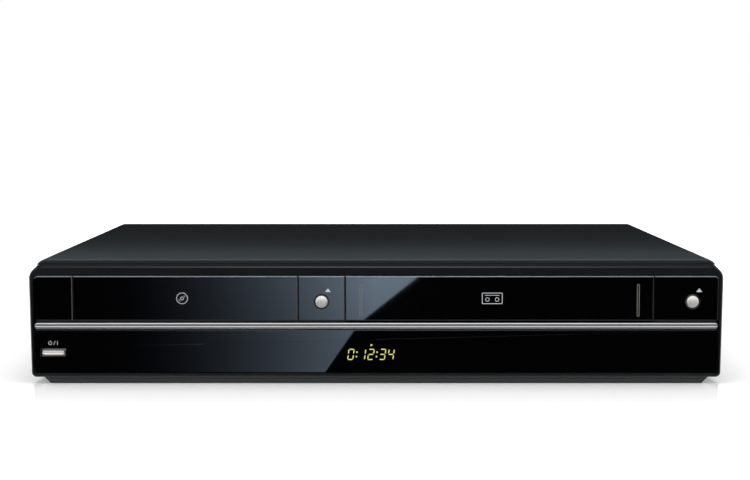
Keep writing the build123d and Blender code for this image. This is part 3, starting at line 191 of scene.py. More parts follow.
def fascia_acrylic(settings):
    """Cast acrylic with a black back: a mirror-flat face whose gloss is all in the reflection."""
    look = new_look("cast_acrylic_black", settings.fascia_hex, 0.03, ior=1.49)
    noise = cloud(look, look.place, 40.0, 2.0)
    feed(look, "Roughness", remap(look.tree, noise, (0.0, 1.0), (0.024, 0.036)))
    return look.material


def painted_highlight_chamfer(settings):
    """Painted highlight on the acrylic's edge: a silver finish that draws a thin light line, lighter where it
    faces up and duller at the side.
    """
    look = new_look("acrylic_edge_painted_highlight", "#B4BBC2", 0.34, metallic=0.75)
    normal = add_node(look.tree, "ShaderNodeNewGeometry").outputs["Normal"]
    lean = add_node(look.tree, "ShaderNodeSeparateXYZ", links={"Vector": normal}).outputs["Z"]
    # painted light from above: the colour is lighter on faces that point up
    faces_up_highlight = remap(look.tree, lean, (0.1, 0.7), (0.0, 1.0))
    feed(look, "Base Color", mix_hues(look.tree, faces_up_highlight, "#6E6864", "#C6CED6"))
    return look.material


def trim_plating(settings):
    """Satin vacuum-metallised ABS: silver with a fine lengthways brushing."""
    return new_finish(
        "satin_metallised_silver", settings.trim_hex, 0.3, (0.35, 0.002), (0.24, 0.36), stretch=(0.01, 1,
        1), metallic=1.0)


def button_pearl(settings):
    """Pearl-lacquered ABS: warm white silver with mica flakes under a clear coat."""
    return new_finish(
        "pearl_lacquer_silver", settings.button_hex, 0.34, (0.25, 0.003), (0.28, 0.42), detail=4.0,
        metallic=0.45, Coat_Weight=0.4, Coat_Roughness=0.1)


def zinc_sheet(settings):
    """Zinc-plated steel sheet: dull silver with drifting spangle and rolling lines."""
    return new_finish(
        "zinc_plated_steel", "#B4B6B8", 0.38, (1.6, 0.003), (0.3, 0.5), stretch=(0.08, 1, 1),
        tint=("#A6A9AC", "#C0C2C4", 14.0), metallic=1.0)


def rear_paint(settings):
    """Matt black baked enamel on sheet steel: fine grit and no clear highlight."""
    return new_finish("baked_enamel_matt_black", "#15161A", 0.6, (0.7, 0.01), (0.52, 0.68), ior=1.4)


def foot_rubber(settings):
    """Moulded rubber: dark, dusty in the low spots and quite rough."""
    return new_finish("moulded_rubber", "#1B1B1C", 0.85, (0.5, 0.02), (0.75, 0.92), detail=4.0, ior=1.45)


def blackened_screw(settings):
    """Black-oxide steel: near black metal with a soft oily shine."""
    return new_finish("black_oxide_steel", "#2B2B2D", 0.35, (0.4, 0.004), (0.28, 0.45), metallic=1.0)


def bright_steel(settings):
    """Ground and polished steel: a clear mirror with fine grinding marks along the bar."""
    return new_finish(
        "ground_steel", "#D5D6D8", 0.15, (0.2, 0.0015), (0.1, 0.22), stretch=(1, 0.05, 1), metallic=1.0)


def board_laminate(settings):
    """Paper-phenolic board under solder resist: tan brown, with a woven drift and a soft gloss."""
    return new_finish(
        "phenolic_board", "#6A4E2C", 0.42, (0.8, 0.008), (0.34, 0.5), tint=("#5E4526", "#7A5A33", 9.0),
        ior=1.5)


def black_moulding(settings):
    """Matt moulded plastic of the inner frames: black with a light spark-eroded grain."""
    return new_finish(
        "spark_grain_abs_black", "#1A1B1D", 0.5, (0.35, 0.008), (0.42, 0.58), detail=3.0, ior=1.48)


def natural_acetal(settings):
    """Unpainted acetal of gears and hubs: milky, slightly translucent and slippery."""
    return new_finish(
        "natural_acetal", "#E4E1D6", 0.36, (3.0, 0.004), (0.3, 0.42), ior=1.48, Subsurface_Weight=0.1,
        Subsurface_Radius=(0.002, 0.0018, 0.0014))


def grey_acetal(settings):
    """Dyed acetal of reels and guides: mid grey and satin."""
    return new_finish("dyed_acetal_grey", "#5A5C60", 0.4, (2.0, 0.004), (0.34, 0.46), ior=1.48)


def motor_can(settings):
    """Drawn and nickel-plated steel cans: bright satin with faint drawing lines."""
    return new_finish(
        "nickel_plated_can", "#B9BABC", 0.28, (0.6, 0.002), (0.22, 0.36), stretch=(1, 1, 0.05), metallic=1.0)


def turned_alloy(settings):
    """Diamond-turned aluminium of the drum: very fine rings that catch light as streaks."""
    return new_finish(
        "turned_aluminium", "#CFD2D4", 0.2, (0.25, 0.0015), (0.15, 0.28), stretch=(0.02, 0.02, 1),
        metallic=1.0)


def lapped_metal(settings):
    """Lapped and plated steel of heads and levers: grey with short crossing scratches."""
    return new_finish(
        "lapped_steel", "#8C8E92", 0.3, (0.5, 0.002), (0.24, 0.4), stretch=(0.2, 1, 1), metallic=1.0)


def soft_rubber(settings):
    """Ground rubber of the roller and belt: matt black with a talc bloom."""
    return new_finish("ground_rubber", "#202022", 0.78, (0.3, 0.01), (0.7, 0.86), ior=1.45)


def dark_glass(settings):
    """Filter glass over the display: smoky, smooth and nearly black."""
    return new_finish("smoked_glass", "#0A0F0E", 0.05, (30.0, 0.001), ior=1.5)


def display_phosphor(settings):
    """Lit phosphor seen through smoked acrylic: yellow-green with a slightly paler core."""
    return new_finish(
        "lit_phosphor", "#3A3A10", 0.5, (0.4, 0.001), Emission_Color=linear(settings.digit_hex),
        Emission_Strength=settings.digit_glow)


def printed_ink(settings):
    """Screen-printed ink: flat light grey that lies a hair above the gloss."""
    return new_finish("screen_print_ink", "#C6C8CB", 0.55, (0.2, 0.001), ior=1.45)


def groove_painted_highlight(settings):
    """Satin grey finish at the door's two grooves, a painted highlight: it draws the light lines along the
    grooves' edges.
    """
    return new_finish(
        "groove_edge_painted_highlight", "#8A8680", 0.34, (0.3, 0.002), stretch=(1, 1, 0.05), metallic=0.6)


def ring_plastic(name, hex_code):
    """Coloured insulating ring of a phono socket: glossy dyed polypropylene."""
    return new_finish(name, hex_code, 0.32, (1.0, 0.002), (0.28, 0.4), ior=1.49)


def gold_contact(settings):
    """Thin gold over nickel on the socket shells: warm, smooth metal."""
    return new_finish("flash_gold_plate", "#D8B365", 0.22, (0.5, 0.001), (0.18, 0.3), metallic=1.0)


NODE_FINISHES = {
    cover_powder_coat: ["top_cover"],
    bezel_moulding: ["front_bezel"],
    fascia_acrylic: ["lower_fascia", "left_fascia_tile", "middle_fascia_tile", "right_fascia_tile",
                     "tray_cap", "cassette_door"],
    trim_plating: ["trim_strip"],
    button_pearl: ["disc_eject_button", "cassette_eject_button", "power_button"],
    zinc_sheet: ["bottom_chassis", "clamp_bridge", "deck_chassis", "cassette_holder", "holder_carriage",
                 "carriage_guides"],
    rear_paint: ["rear_panel"],
    foot_rubber: ["feet"],
    blackened_screw: ["case_screws"],
    bright_steel: ["inner_screws", "sled_rails", "capstan"],
    board_laminate: ["main_board", "power_board", "front_board"],
    black_moulding: ["loader_frame", "traverse_frame", "phono_jacks", "signal_sockets", "mains_inlet",
                     "laser_sled", "disc_tray"],
    natural_acetal: ["tray_gear", "pulley_gear", "motor_pulley", "sled_gear", "mode_gear", "deck_pinion",
                     "disc_clamper", "turntable"],
    grey_acetal: ["supply_reel", "takeup_reel", "supply_guide", "takeup_guide"],
    motor_can: ["spindle_motor", "sled_motor", "tray_motor", "deck_motor", "capstan_motor", "tuner_module"],
    turned_alloy: ["lower_drum", "head_drum"],
    lapped_metal: ["audio_head", "erase_head", "pinch_lever"],
    soft_rubber: ["pinch_roller", "loader_belt"],
    dark_glass: ["display_tube"],
}


# --- mesh helpers
ON_AXIS = 1e-7
WELD = 1e-6
PRINT = 0.03 * MM


def place_mesh(name, mesh_data, finish, body=None):
    """Makes an object of a bmesh and gives it its finish; a piece of the part is fixed to its body."""
    mesh = bpy.data.meshes.new(name)
    if body:
        bmesh.ops.recalc_face_normals(mesh_data, faces=mesh_data.faces)
    mesh_data.to_mesh(mesh)
    mesh_data.free()
    piece = bpy.data.objects.new(name, mesh)
    bpy.context.scene.collection.objects.link(piece)
    mesh.materials.append(finish)
    if body:
        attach(piece, body)
    return piece


def bridge(mesh_data, rings, closed=True):
    """Joins each row of points to the next one with four-sided faces; closed rows run all the way round."""
    count = len(rings[0])
    for first, second in zip(rings, rings[1:]):
        for i in range(count if closed else count - 1):
            j = (i + 1) % count
            mesh_data.faces.new((first[i], first[j], second[j], second[i]))


def add_prism(mesh_data, outline, y0, y1):
    """A closed prism: an outline of X and Z points carried from y0 to y1."""
    near = [mesh_data.verts.new((x, y0, z)) for x, z in outline]
    far = [mesh_data.verts.new((x, y1, z)) for x, z in outline]
    mesh_data.faces.new(near)
    mesh_data.faces.new(list(reversed(far)))
    bridge(mesh_data, [far, near])


def add_strip(mesh_data, outer, inner, y0, y1):
    """A closed frame between two loops of as many X and Z points, from y0 to y1."""
    rings = [[mesh_data.verts.new((x, y, z)) for x, z in loop]
             for loop, y in ((outer, y0), (inner, y0), (inner, y1), (outer, y1))]
    bridge(mesh_data, rings + rings[:1])


def print_shape(mesh_data, outline):
    """A printed shape, which lies a hair above the face."""
    add_prism(mesh_data, outline, FACE_Y - PRINT, FACE_Y)


def print_frame(mesh_data, outer, inner):
    """A printed line between two loops."""
    add_strip(mesh_data, outer, inner, FACE_Y - PRINT, FACE_Y)


def add_lathe(mesh_data, profile, middle, steps):
    """A shape turned about Y: profile holds radius and place along the axis, and may end where it starts."""
    turns = [2 * math.pi * step / steps for step in range(steps)]
    rings = []
    for radius, along in profile:
        spokes = turns if radius >= ON_AXIS else [0.0]
        rings.append([mesh_data.verts.new((middle[0] + radius * math.cos(turn), middle[1] + along,
                                           middle[2] + radius * math.sin(turn))) for turn in spokes])
    for first, second in zip(rings, rings[1:]):
        for step in range(steps):
            corners = ((first, step), (second, step), (second, step + 1), (first, step + 1))
            around = dict.fromkeys(ring[turn % len(ring)] for ring, turn in corners)
            mesh_data.faces.new(list(around))
    if profile[0] == profile[-1]:
        bmesh.ops.remove_doubles(mesh_data, verts=mesh_data.verts, dist=WELD)


def turned_piece(name, profile, middle, steps, finish, body):
    """A piece of its own, turned about Y and shaded smooth."""
    work = bmesh.new()
    add_lathe(work, profile, middle, steps)
    piece = place_mesh(name, work, finish, body)
    smooth_by_angle(piece)
    return piece


def in_metres(profile):
    """The pairs of a profile that is written in millimetres."""
    return [(first * MM, second * MM) for first, second in profile]


def arc(x, z, radius, start, end, steps):
    """Points of X and Z along an arc, its angles in degrees."""
    angles = [math.radians(start + (end - start) * step / steps) for step in range(steps + 1)]
    return [(x + radius * math.cos(a), z + radius * math.sin(a)) for a in angles]


def arc_band(x, z, inner, outer, start, end, steps):
    """The outline of a band along an arc."""
    return arc(x, z, outer, start, end, steps) + arc(x, z, inner, end, start, steps)


def rounded_loop(x, z, half_width, half_height, corner, steps=6):
    """A rectangle with rounded corners, as X and Z points."""
    loop = []
    for side_x, side_z, start in ((1, 1, 0), (-1, 1, 90), (-1, -1, 180), (1, -1, 270)):
        loop += arc(x + side_x * (half_width - corner), z + side_z * (half_height - corner), corner,
                    start, start + 90, steps)
    return loop


def smooth_by_angle(piece, degrees=40):
    """Shades a piece smooth except at its sharp edges."""
    piece.data.shade_smooth()
    piece.data.set_sharp_from_angle(angle=math.radians(degrees))


def middle_of(node):
    low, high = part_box(node)
    return (low + high) / 2


# --- sizes and colours a user may change
def text_setting(name, description, default):
    return StringProperty(name=name, description=description, default=default)


class PlayerSettings(bpy.types.PropertyGroup):
    cover_hex: text_setting("Cover colour", "Powder coat of the top cover", "#1A1C1E")
    bezel_hex: text_setting("Bezel colour", "Moulding around the front", "#080B0F")
    fascia_hex: text_setting("Fascia colour", "Body colour of the gloss panels", "#030304")
    trim_hex: text_setting("Trim colour", "Silver strip across the front", "#A9AAAC")
    button_hex: text_setting("Button colour", "Pearl lacquer of the buttons", "#D3D1CE")
    digit_hex: text_setting("Digit colour", "Lit segments of the display", "#D8D672")
    digit_glow: FloatProperty(
        name="Digit glow", description="Brightness of the lit segments", default=1.0, min=0.0, max=10.0)
    digit_height: FloatProperty(
        name="Digit height", description="Height of a display digit", default=7.0 * MM, unit="LENGTH")
    digit_slant: FloatProperty(
        name="Digit slant", description="Lean of the display digits", default=math.radians(8),
        subtype="ANGLE")
    display_text: text_setting("Display", "Digits and colons shown", "0:12:34")
    gloss_card: FloatProperty(
        name="Gloss card", description="Brightness of the card that the front mirrors", default=25.0,
        min=0.0)
    bevel_card: FloatProperty(
        name="Bevel card", description="Brightness of the cards that light the bevels", default=1.7,
        min=0.0)


def settings_of(context):
    return context.scene.player_settings


# --- finishes on the frame
# tiles whose top and right chamfers carry a painted highlight
CHAMFERED = ("left_fascia_tile", "middle_fascia_tile", "right_fascia_tile", "tray_cap", "cassette_door")
CHAMFER_DEPTH = 0.6 * MM
CHAMFER_FORWARD = (0.3, 0.95)
CHAMFER_UP = 0.2
CHAMFER_RIGHT = 0.3


def mark_highlight_chamfers(mesh, finish):
    """Gives the slanted faces at the top and right of a tile's front the painted highlight finish, so that
    only these sides show a light line.
    """
    mesh.materials.append(finish)
    for polygon in mesh.polygons:
        normal = polygon.normal
        slanted = CHAMFER_FORWARD[0] < -normal.y < CHAMFER_FORWARD[1]
        # painted highlight only on the chamfers that face up or to the right
        painted_highlight_side = normal.z > CHAMFER_UP or normal.x > CHAMFER_RIGHT
        if slanted and painted_highlight_side and polygon.center.y < FACE_Y + CHAMFER_DEPTH:
            polygon.material_index = 1


class PLAYER_OT_finish_nodes(bpy.types.Operator):
    """Gives every piece of the frame its real finish, and the tiles' top and right chamfers a painted
    highlight.
    """
    bl_idname = "player.finish_nodes"
    bl_label = "Finish the Frame"

    def execute(self, context):
        settings = settings_of(context)
        for recipe, names in NODE_FINISHES.items():
            finish = recipe(settings)
            for name in names:
                mesh = NODES[name].data
                mesh.materials.clear()
                mesh.materials.append(finish)
        # the top and right chamfers of the tiles get the painted highlight finish
        edge = painted_highlight_chamfer(settings)
        for name in CHAMFERED:
            mark_highlight_chamfers(NODES[name].data, edge)
        return {"FINISHED"}


# --- display
SEGMENTS = {
    "0": "abcdef", "1": "bc", "2": "abged", "3": "abgcd", "4": "fgbc",
    "5": "afgcd", "6": "afgedc", "7": "abc", "8": "abcdefg", "9": "abfgcd",
}
DIGIT_STEP = 5.25 * MM
COLON_STEP = 1.95 * MM
DIGITS_X = -0.8 * MM
DIGITS_Z = -0.3 * MM
PLAY_MARK_X = 0.5 * MM
PLAY_MARK_RISE = 2.3 * MM
PLAY_MARK_HALF = 0.75 * MM


def bar_outline(low, high, across, half):
    """A slim hexagon from low to high, as pairs along and across it."""
    return [(low, across), (low + half, across + half), (high - half, across + half),
            (high, across), (high - half, across - half), (low + half, across - half)]


def segment_outlines(height):
    """The seven bars of a digit, named a to g, about the digit's middle."""
    half_height = height / 2
    half_width = height * 0.275
    bar = height * 0.046
    gap = height * 0.02
    reach = half_width - bar - gap
    outlines = {}
    for name, z in (("a", half_height - bar), ("g", 0.0), ("d", -half_height + bar)):
        outlines[name] = bar_outline(-reach, reach, z, bar)
    for name, side, sign in (("f", -1, 1), ("b", 1, 1), ("e", -1, -1), ("c", 1, -1)):
        low, high = sorted((sign * (bar + gap), sign * (half_height - bar - gap)))
        outlines[name] = [(x, z) for z, x in bar_outline(low, high, side * (half_width - bar), bar)]
    return outlines


class PLAYER_OT_display(bpy.types.Operator):
    """Makes the lit digits and the play mark of the display."""
    bl_idname = "player.display"
    bl_label = "Display Digits"

    def execute(self, context):
        settings = settings_of(context)
        tube = middle_of("display_tube")
        middle_x = tube.x + DIGITS_X
        middle_z = tube.z + DIGITS_Z
        work = bmesh.new()
        self.digits(work, settings, middle_x, middle_z)
        x = middle_x + PLAY_MARK_X
        z = middle_z + settings.digit_height / 2 + PLAY_MARK_RISE
        half = PLAY_MARK_HALF
        print_shape(work, [(x - half, z - half), (x + half, z), (x - half, z + half)])
        digits = place_mesh("display_digits", work, display_phosphor(settings), "casing")
        digits.visible_shadow = False
        return {"FINISHED"}

    def digits(self, work, settings, middle_x, middle_z):
        """The digits and colons of the text, side by side about the middle."""
        height = settings.digit_height
        lean = math.tan(settings.digit_slant)
        outlines = segment_outlines(height)
        dot = height * 0.065
        steps = [COLON_STEP if mark == ":" else DIGIT_STEP for mark in settings.display_text]
        cursor = middle_x - sum(steps) / 2
        for mark, step in zip(settings.display_text, steps):
            x = cursor + step / 2
            cursor += step
            if mark == ":":
                for z in (-height * 0.2, height * 0.2):
                    print_shape(work, rounded_loop(x + z * lean, middle_z + z, dot, dot, dot * 0.5, 2))
                continue
            for bar in SEGMENTS[mark]:
                print_shape(work, [(x + u + v * lean, middle_z + v) for u, v in outlines[bar]])


# --- printed marks, sizes in millimetres
EJECT_BUTTONS = ("disc_eject_button", "cassette_eject_button")
EJECT_MARK_PLACE = (4.0, 6.0)
EJECT_MARK_HALF = 1.8
EJECT_MARK_HEIGHT = 2.3
STANDBY_RISE = 6.2
STANDBY_RING_X = -1.7
STANDBY_RING = (0.86, 1.16)
STANDBY_GAP = (125, 415)
STANDBY_BAR_HALF = 0.15
# each bar: X from the button's middle, lower end, upper end, half of its lean
STANDBY_BARS = ((-1.7, 0.45, 1.5, 0.0), (0.9, -1.25, 1.25, 0.45), (2.7, -1.25, 1.25, 0.0))
DISC_SIGN_X = -2.0
DISC_SIGN_RINGS = ((3.2, 3.55), (0.75, 1.1))
DISC_SIGN_GLINT = (1.95, 2.2)
CASSETTE_SIGN_X = -4.5
REEL_PLACE = (3.0, -0.7)
REEL_RADII = (1.3, 0.95)


class PLAYER_OT_printed_marks(bpy.types.Operator):
    """Prints the eject marks, the standby mark, and the signs of a disc and a cassette."""
    bl_idname = "player.printed_marks"
    bl_label = "Printed Marks"

    def execute(self, context):
        ink = printed_ink(settings_of(context))
        for node in EJECT_BUTTONS:
            self.eject_mark(node, ink)
        self.standby_mark(ink)
        self.disc_sign(ink)
        self.cassette_sign(ink)
        return {"FINISHED"}

    def eject_mark(self, node, ink):
        """A triangle above and to the right of the button."""
        button = middle_of(node)
        x = button.x + EJECT_MARK_PLACE[0] * MM
        z = button.z + EJECT_MARK_PLACE[1] * MM
        half = EJECT_MARK_HALF * MM
        work = bmesh.new()
        print_shape(work, [(x - half, z), (x + half, z), (x, z + EJECT_MARK_HEIGHT * MM)])
        place_mesh(node.replace("button", "mark"), work, ink, "casing")

    def standby_mark(self, ink):
        """A ring that a short bar breaks, a slash and an upright bar."""
        button = middle_of("power_button")
        z = button.z + STANDBY_RISE * MM
        ring_x = button.x + STANDBY_RING_X * MM
        inner, outer = STANDBY_RING
        work = bmesh.new()
        print_shape(work, arc_band(ring_x, z, inner * MM, outer * MM, *STANDBY_GAP, 30))
        half = STANDBY_BAR_HALF * MM
        for from_middle, low, high, shift in STANDBY_BARS:
            x = button.x + from_middle * MM
            foot = x - shift * MM
            head = x + shift * MM
            print_shape(work, [(foot - half, z + low * MM), (foot + half, z + low * MM),
                               (head + half, z + high * MM), (head - half, z + high * MM)])
        place_mesh("standby_mark", work, ink, "casing")

    def disc_sign(self, ink):
        """A disc with its hole and two glints."""
        cap = middle_of("tray_cap")
        x = cap.x + DISC_SIGN_X * MM
        work = bmesh.new()
        for radii in DISC_SIGN_RINGS:
            inner, outer = (arc(x, cap.z, radius * MM, 0, 354, 59) for radius in radii)
            print_frame(work, outer, inner)
        inner, outer = DISC_SIGN_GLINT
        for start in (20, 200):
            print_shape(work, arc_band(x, cap.z, inner * MM, outer * MM, start, start + 40, 10))
        place_mesh("disc_sign", work, ink, "tray")

    def cassette_sign(self, ink):
        """A cassette's outline with its two reels and the line of its label."""
        z = middle_of("tray_cap").z
        x = middle_of("cassette_door").x + CASSETTE_SIGN_X * MM
        work = bmesh.new()
        print_frame(work, rounded_loop(x, z, 6.4 * MM, 3.5 * MM, 0.6 * MM),
                    rounded_loop(x, z, 6.0 * MM, 3.1 * MM, 0.3 * MM))
        aside, rise = REEL_PLACE
        for side in (-1, 1):
            print_frame(work, *(arc(x + side * aside * MM, z + rise * MM, radius * MM, 0, 350, 35)
                                for radius in REEL_RADII))
        print_shape(work, rounded_loop(x, z + 1.9 * MM, 4.6 * MM, 0.16 * MM, 0.14 * MM, 2))
        place_mesh("cassette_sign", work, ink, "cassette_door")


# --- trim strip
# shares of the strip's depth and height, from the lower edge over the front to the upper edge
TRIM_SECTION = [
    (0.60, 0.00), (0.38, 0.03), (0.22, 0.09), (0.16, 0.16), (0.13, 0.25), (0.135, 0.33), (0.17, 0.42),
    (0.19, 0.50), (0.26, 0.52), (0.26, 0.57), (0.16, 0.60), (0.12, 0.66), (0.10, 0.74), (0.16, 0.84),
    (0.28, 0.92), (0.44, 0.98), (0.60, 1.00),
]
NOSE_STEPS = 12


class PLAYER_OT_trim(bpy.types.Operator):
    """Makes the silver strip with its bright top edge, its groove and its rounded ends."""
    bl_idname = "player.trim"
    bl_label = "Trim Strip"

    def execute(self, context):
        low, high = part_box("trim_strip")
        work = bmesh.new()
        rings = [self.section(work, low, high, x, swell) for x, swell in self.stations(low, high)]
        bridge(work, rings)
        work.faces.new(rings[0])
        work.faces.new(list(reversed(rings[-1])))
        strip = place_mesh("trim_strip_moulding", work, trim_plating(settings_of(context)), "casing")
        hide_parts("trim_strip")
        smooth_by_angle(strip)
        return {"FINISHED"}

    def stations(self, low, high):
        """Places along the strip with the share of the full section there; both ends are rounded."""
        nose = (high.z - low.z) * 0.5
        turns = [math.pi / 2 * step / NOSE_STEPS for step in range(1, NOSE_STEPS + 1)]
        left = [(low.x + nose * (1 - math.cos(turn)), math.sin(turn)) for turn in turns]
        right = [(high.x - nose * (1 - math.cos(turn)), math.sin(turn)) for turn in reversed(turns)]
        return left + right

    def section(self, work, low, high, x, swell):
        """The points of the section at x; towards an end it grows lower and shallower."""
        height = (high.z - low.z) * swell
        depth = high.y - low.y
        middle_z = (low.z + high.z) / 2
        points = [(low.y + depth * (d * (0.4 + 0.6 * swell) + 0.45 * (1 - swell)),
                   middle_z + (z - 0.5) * height) for d, z in TRIM_SECTION]
        points += [(high.y, middle_z + 0.5 * height), (high.y, middle_z - 0.5 * height)]
        return [work.verts.new((x, y, z)) for y, z in points]


# --- buttons
EJECT_RADIUS = 3.75 * MM
DOME_RISE = 0.55 * MM
DOME_STEPS = 14
FLANGE_SETBACK = 4.6 * MM
FLANGE_THICKNESS = 1.0 * MM
STEM_RADIUS = 1.6 * MM
BUSH_INNER = 4.3 * MM
BUSH_OUTER = 4.82 * MM
BUSH_DEPTH = 2.4 * MM


class PLAYER_OT_eject_buttons(bpy.types.Operator):
    """Makes the two round buttons as turned domes, and the dark rings that they sit in."""
    bl_idname = "player.eject_buttons"
    bl_label = "Eject Buttons"

    def execute(self, context):
        pearl = button_pearl(settings_of(context))
        ring_finish = black_moulding(settings_of(context))
        for node in EJECT_BUTTONS:
            self.dome(node, pearl)
            self.bush(node, ring_finish)
        return {"FINISHED"}

    def dome(self, node, finish):
        """The domed cap, the flange behind the panel and the stem, turned in one."""
        low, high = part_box(node)
        middle = (low + high) / 2
        length = high.y - low.y
        flange = (high.x - low.x) / 2
        flange_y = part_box("front_bezel")[0].y + FLANGE_SETBACK - low.y
        flange_back = flange_y + FLANGE_THICKNESS
        profile = [(0.0, 0.0)]
        for step in range(1, DOME_STEPS + 1):
            share = step / DOME_STEPS
            profile.append((EJECT_RADIUS * share * 0.93, DOME_RISE * share ** 2.6))
        profile += [(EJECT_RADIUS * 0.965, 0.68 * MM), (EJECT_RADIUS * 0.99, 0.9 * MM),
                    (EJECT_RADIUS, 1.2 * MM), (EJECT_RADIUS, flange_y), (flange, flange_y),
                    (flange, flange_back), (STEM_RADIUS, flange_back), (STEM_RADIUS, length), (0.0, length)]
        button = turned_piece(node + "_cap", profile, (middle.x, low.y, middle.z), 64, finish, node)
        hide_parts(node)

    def bush(self, node, finish):
        """The ring around the cap, its front edges broken."""
        middle = middle_of(node)
        profile = [(BUSH_INNER, 0.3 * MM), (BUSH_INNER + 0.12 * MM, 0.1 * MM),
                   (BUSH_OUTER - 0.14 * MM, 0.02 * MM), (BUSH_OUTER, 0.12 * MM), (BUSH_OUTER, BUSH_DEPTH),
                   (BUSH_INNER, BUSH_DEPTH), (BUSH_INNER, 0.3 * MM)]
        turned_piece(node.replace("button", "bush"), profile, (middle.x, FACE_Y, middle.z), 64, finish,
                     "casing")


POWER_HALF_WIDTH = 7.0 * MM
POWER_HALF_HEIGHT = 1.5 * MM
# inset and depth of the cap's loops in millimetres, from the crease over the edge to the back
POWER_LOOPS = [(1.30, 0.40), (1.15, 0.30), (0.90, 0.08), (0.60, 0.0), (0.30, 0.06), (0.10, 0.28),
               (0.0, 0.62), (0.0, 4.6)]
POWER_STEM_RADIUS = 1.5 * MM
POWER_STEM_START = 5.3 * MM
POWER_FLANGE = (4.4 * MM, 5.4 * MM)
RECESS_RISE = 0.4 * MM
RECESS_DEPTH = 2.4 * MM


class PLAYER_OT_power_button(bpy.types.Operator):
    """Makes the power bar with its rounded edge and the crease along its middle, and its recess's rim."""
    bl_idname = "player.power_button"
    bl_label = "Power Button"

    def execute(self, context):
        settings = settings_of(context)
        low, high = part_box("power_button")
        middle = (low + high) / 2
        length = high.y - low.y
        work = bmesh.new()
        self.cap(work, middle, low.y)
        flange = rounded_loop(middle.x, middle.z, (high.x - low.x) / 2, (high.z - low.z) / 2, 0.6 * MM)
        add_prism(work, flange, low.y + POWER_FLANGE[0], low.y + POWER_FLANGE[1])
        stem = [(0.0, POWER_STEM_START), (POWER_STEM_RADIUS, POWER_STEM_START), (POWER_STEM_RADIUS, length),
                (0.0, length)]
        add_lathe(work, stem, (middle.x, low.y, middle.z), 24)
        cap = place_mesh("power_button_cap", work, button_pearl(settings), "power_button")
        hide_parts("power_button")
        smooth_by_angle(cap)
        self.recess_rim(middle, bezel_moulding(settings))
        return {"FINISHED"}

    def cap(self, work, middle, front):
        """The bar: its front is creased along the middle, and its edge is rounded."""
        rings = []
        for inset, depth in POWER_LOOPS:
            half_height = POWER_HALF_HEIGHT - inset * MM
            loop = rounded_loop(middle.x, middle.z, POWER_HALF_WIDTH - inset * MM, half_height,
                                min(0.95 * half_height, 1.5 * MM))
            rings.append([work.verts.new((x, front + depth * MM, z)) for x, z in loop])
        bridge(work, rings)
        work.faces.new(list(reversed(rings[0])))
        work.faces.new(rings[-1])

    def recess_rim(self, middle, finish):
        """The rim of the recess, with its front edges broken."""
        z = middle.z + RECESS_RISE
        outer = rounded_loop(middle.x, z, 8.15 * MM, 3.0 * MM, 0.75 * MM)
        inner = rounded_loop(middle.x, z, 7.8 * MM, 2.65 * MM, 0.6 * MM)
        work = bmesh.new()
        add_strip(work, outer, inner, FACE_Y + 0.05 * MM, FACE_Y + RECESS_DEPTH)
        edges = [edge for edge in work.edges if all(v.co.y < FACE_Y + 0.1 * MM for v in edge.verts)
                 and abs(edge.calc_face_angle(0)) > 1.0]
        bmesh.ops.bevel(work, geom=edges, offset=0.1 * MM, segments=2, affect="EDGES")
        rim = place_mesh("power_recess_rim", work, finish, "casing")
        smooth_by_angle(rim, 50)


# --- door grooves
GROOVE_INSET = 9.6 * MM
GROOVE_HALF = 0.48 * MM
GROOVE_RIM = (0.36 * MM, -0.1 * MM)
GROOVE_DEPTH = 0.5 * MM
GROOVE_FROM_BOTTOM = 3.2 * MM
GROOVE_FROM_TOP = 5.8 * MM
SEAM = 0.4 * MM


class PLAYER_OT_door_grooves(bpy.types.Operator):
    """Puts a satin grey rim around the two slim grooves of the cassette door: a painted highlight along their
    edges.
    """
    bl_idname = "player.door_grooves"
    bl_label = "Door Grooves"

    def execute(self, context):
        edge_highlight = groove_painted_highlight(settings_of(context))
        tile_low, tile_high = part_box("tray_cap")
        door_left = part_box("middle_fascia_tile")[1].x + SEAM
        door_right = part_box("right_fascia_tile")[0].x - SEAM
        z0 = tile_low.z + GROOVE_FROM_BOTTOM
        z1 = tile_high.z - GROOVE_FROM_TOP
        for name, x in (("left", door_left + GROOVE_INSET), ("right", door_right - GROOVE_INSET)):
            # a grey ring over the face and inside each groove: painted highlight on the groove's edges
            loops = [arc(x, z1, half, 0, 180, 8) + arc(x, z0, half, 180, 360, 8)
                     for half in (GROOVE_HALF + rim for rim in GROOVE_RIM)]
            work = bmesh.new()
            add_strip(work, *loops, FACE_Y - PRINT, FACE_Y + GROOVE_DEPTH)
            place_mesh(f"door_groove_{name}", work, edge_highlight, "cassette_door")
        return {"FINISHED"}


# --- back of the case
RING_COLOURS = ["#D8C21E", "#E6E4DC", "#B3201C", "#1E7F3C", "#1E4FA8", "#B3201C", "#E6E4DC", "#B3201C"]
# radius and place along the axis, in millimetres
RING_PROFILE = [(4.25, 0.6), (6.2, 0.6), (6.5, 0.9), (6.5, 1.5), (6.2, 1.9), (4.6, 2.1), (4.25, 1.9),
                (4.25, 0.6)]
# radius, and how far before the socket's tip, in millimetres
SHELL_PROFILE = [(3.2, 6.0), (4.24, 6.0), (4.24, 0.35), (4.0, 0.05), (3.4, 0.05), (3.2, 0.3), (3.2, 6.0)]
RING_SEAT = 0.6 * MM
SOCKET_PITCH = 14.0 * MM
SOCKET_ROWS = (9.0 * MM, 28.0 * MM)


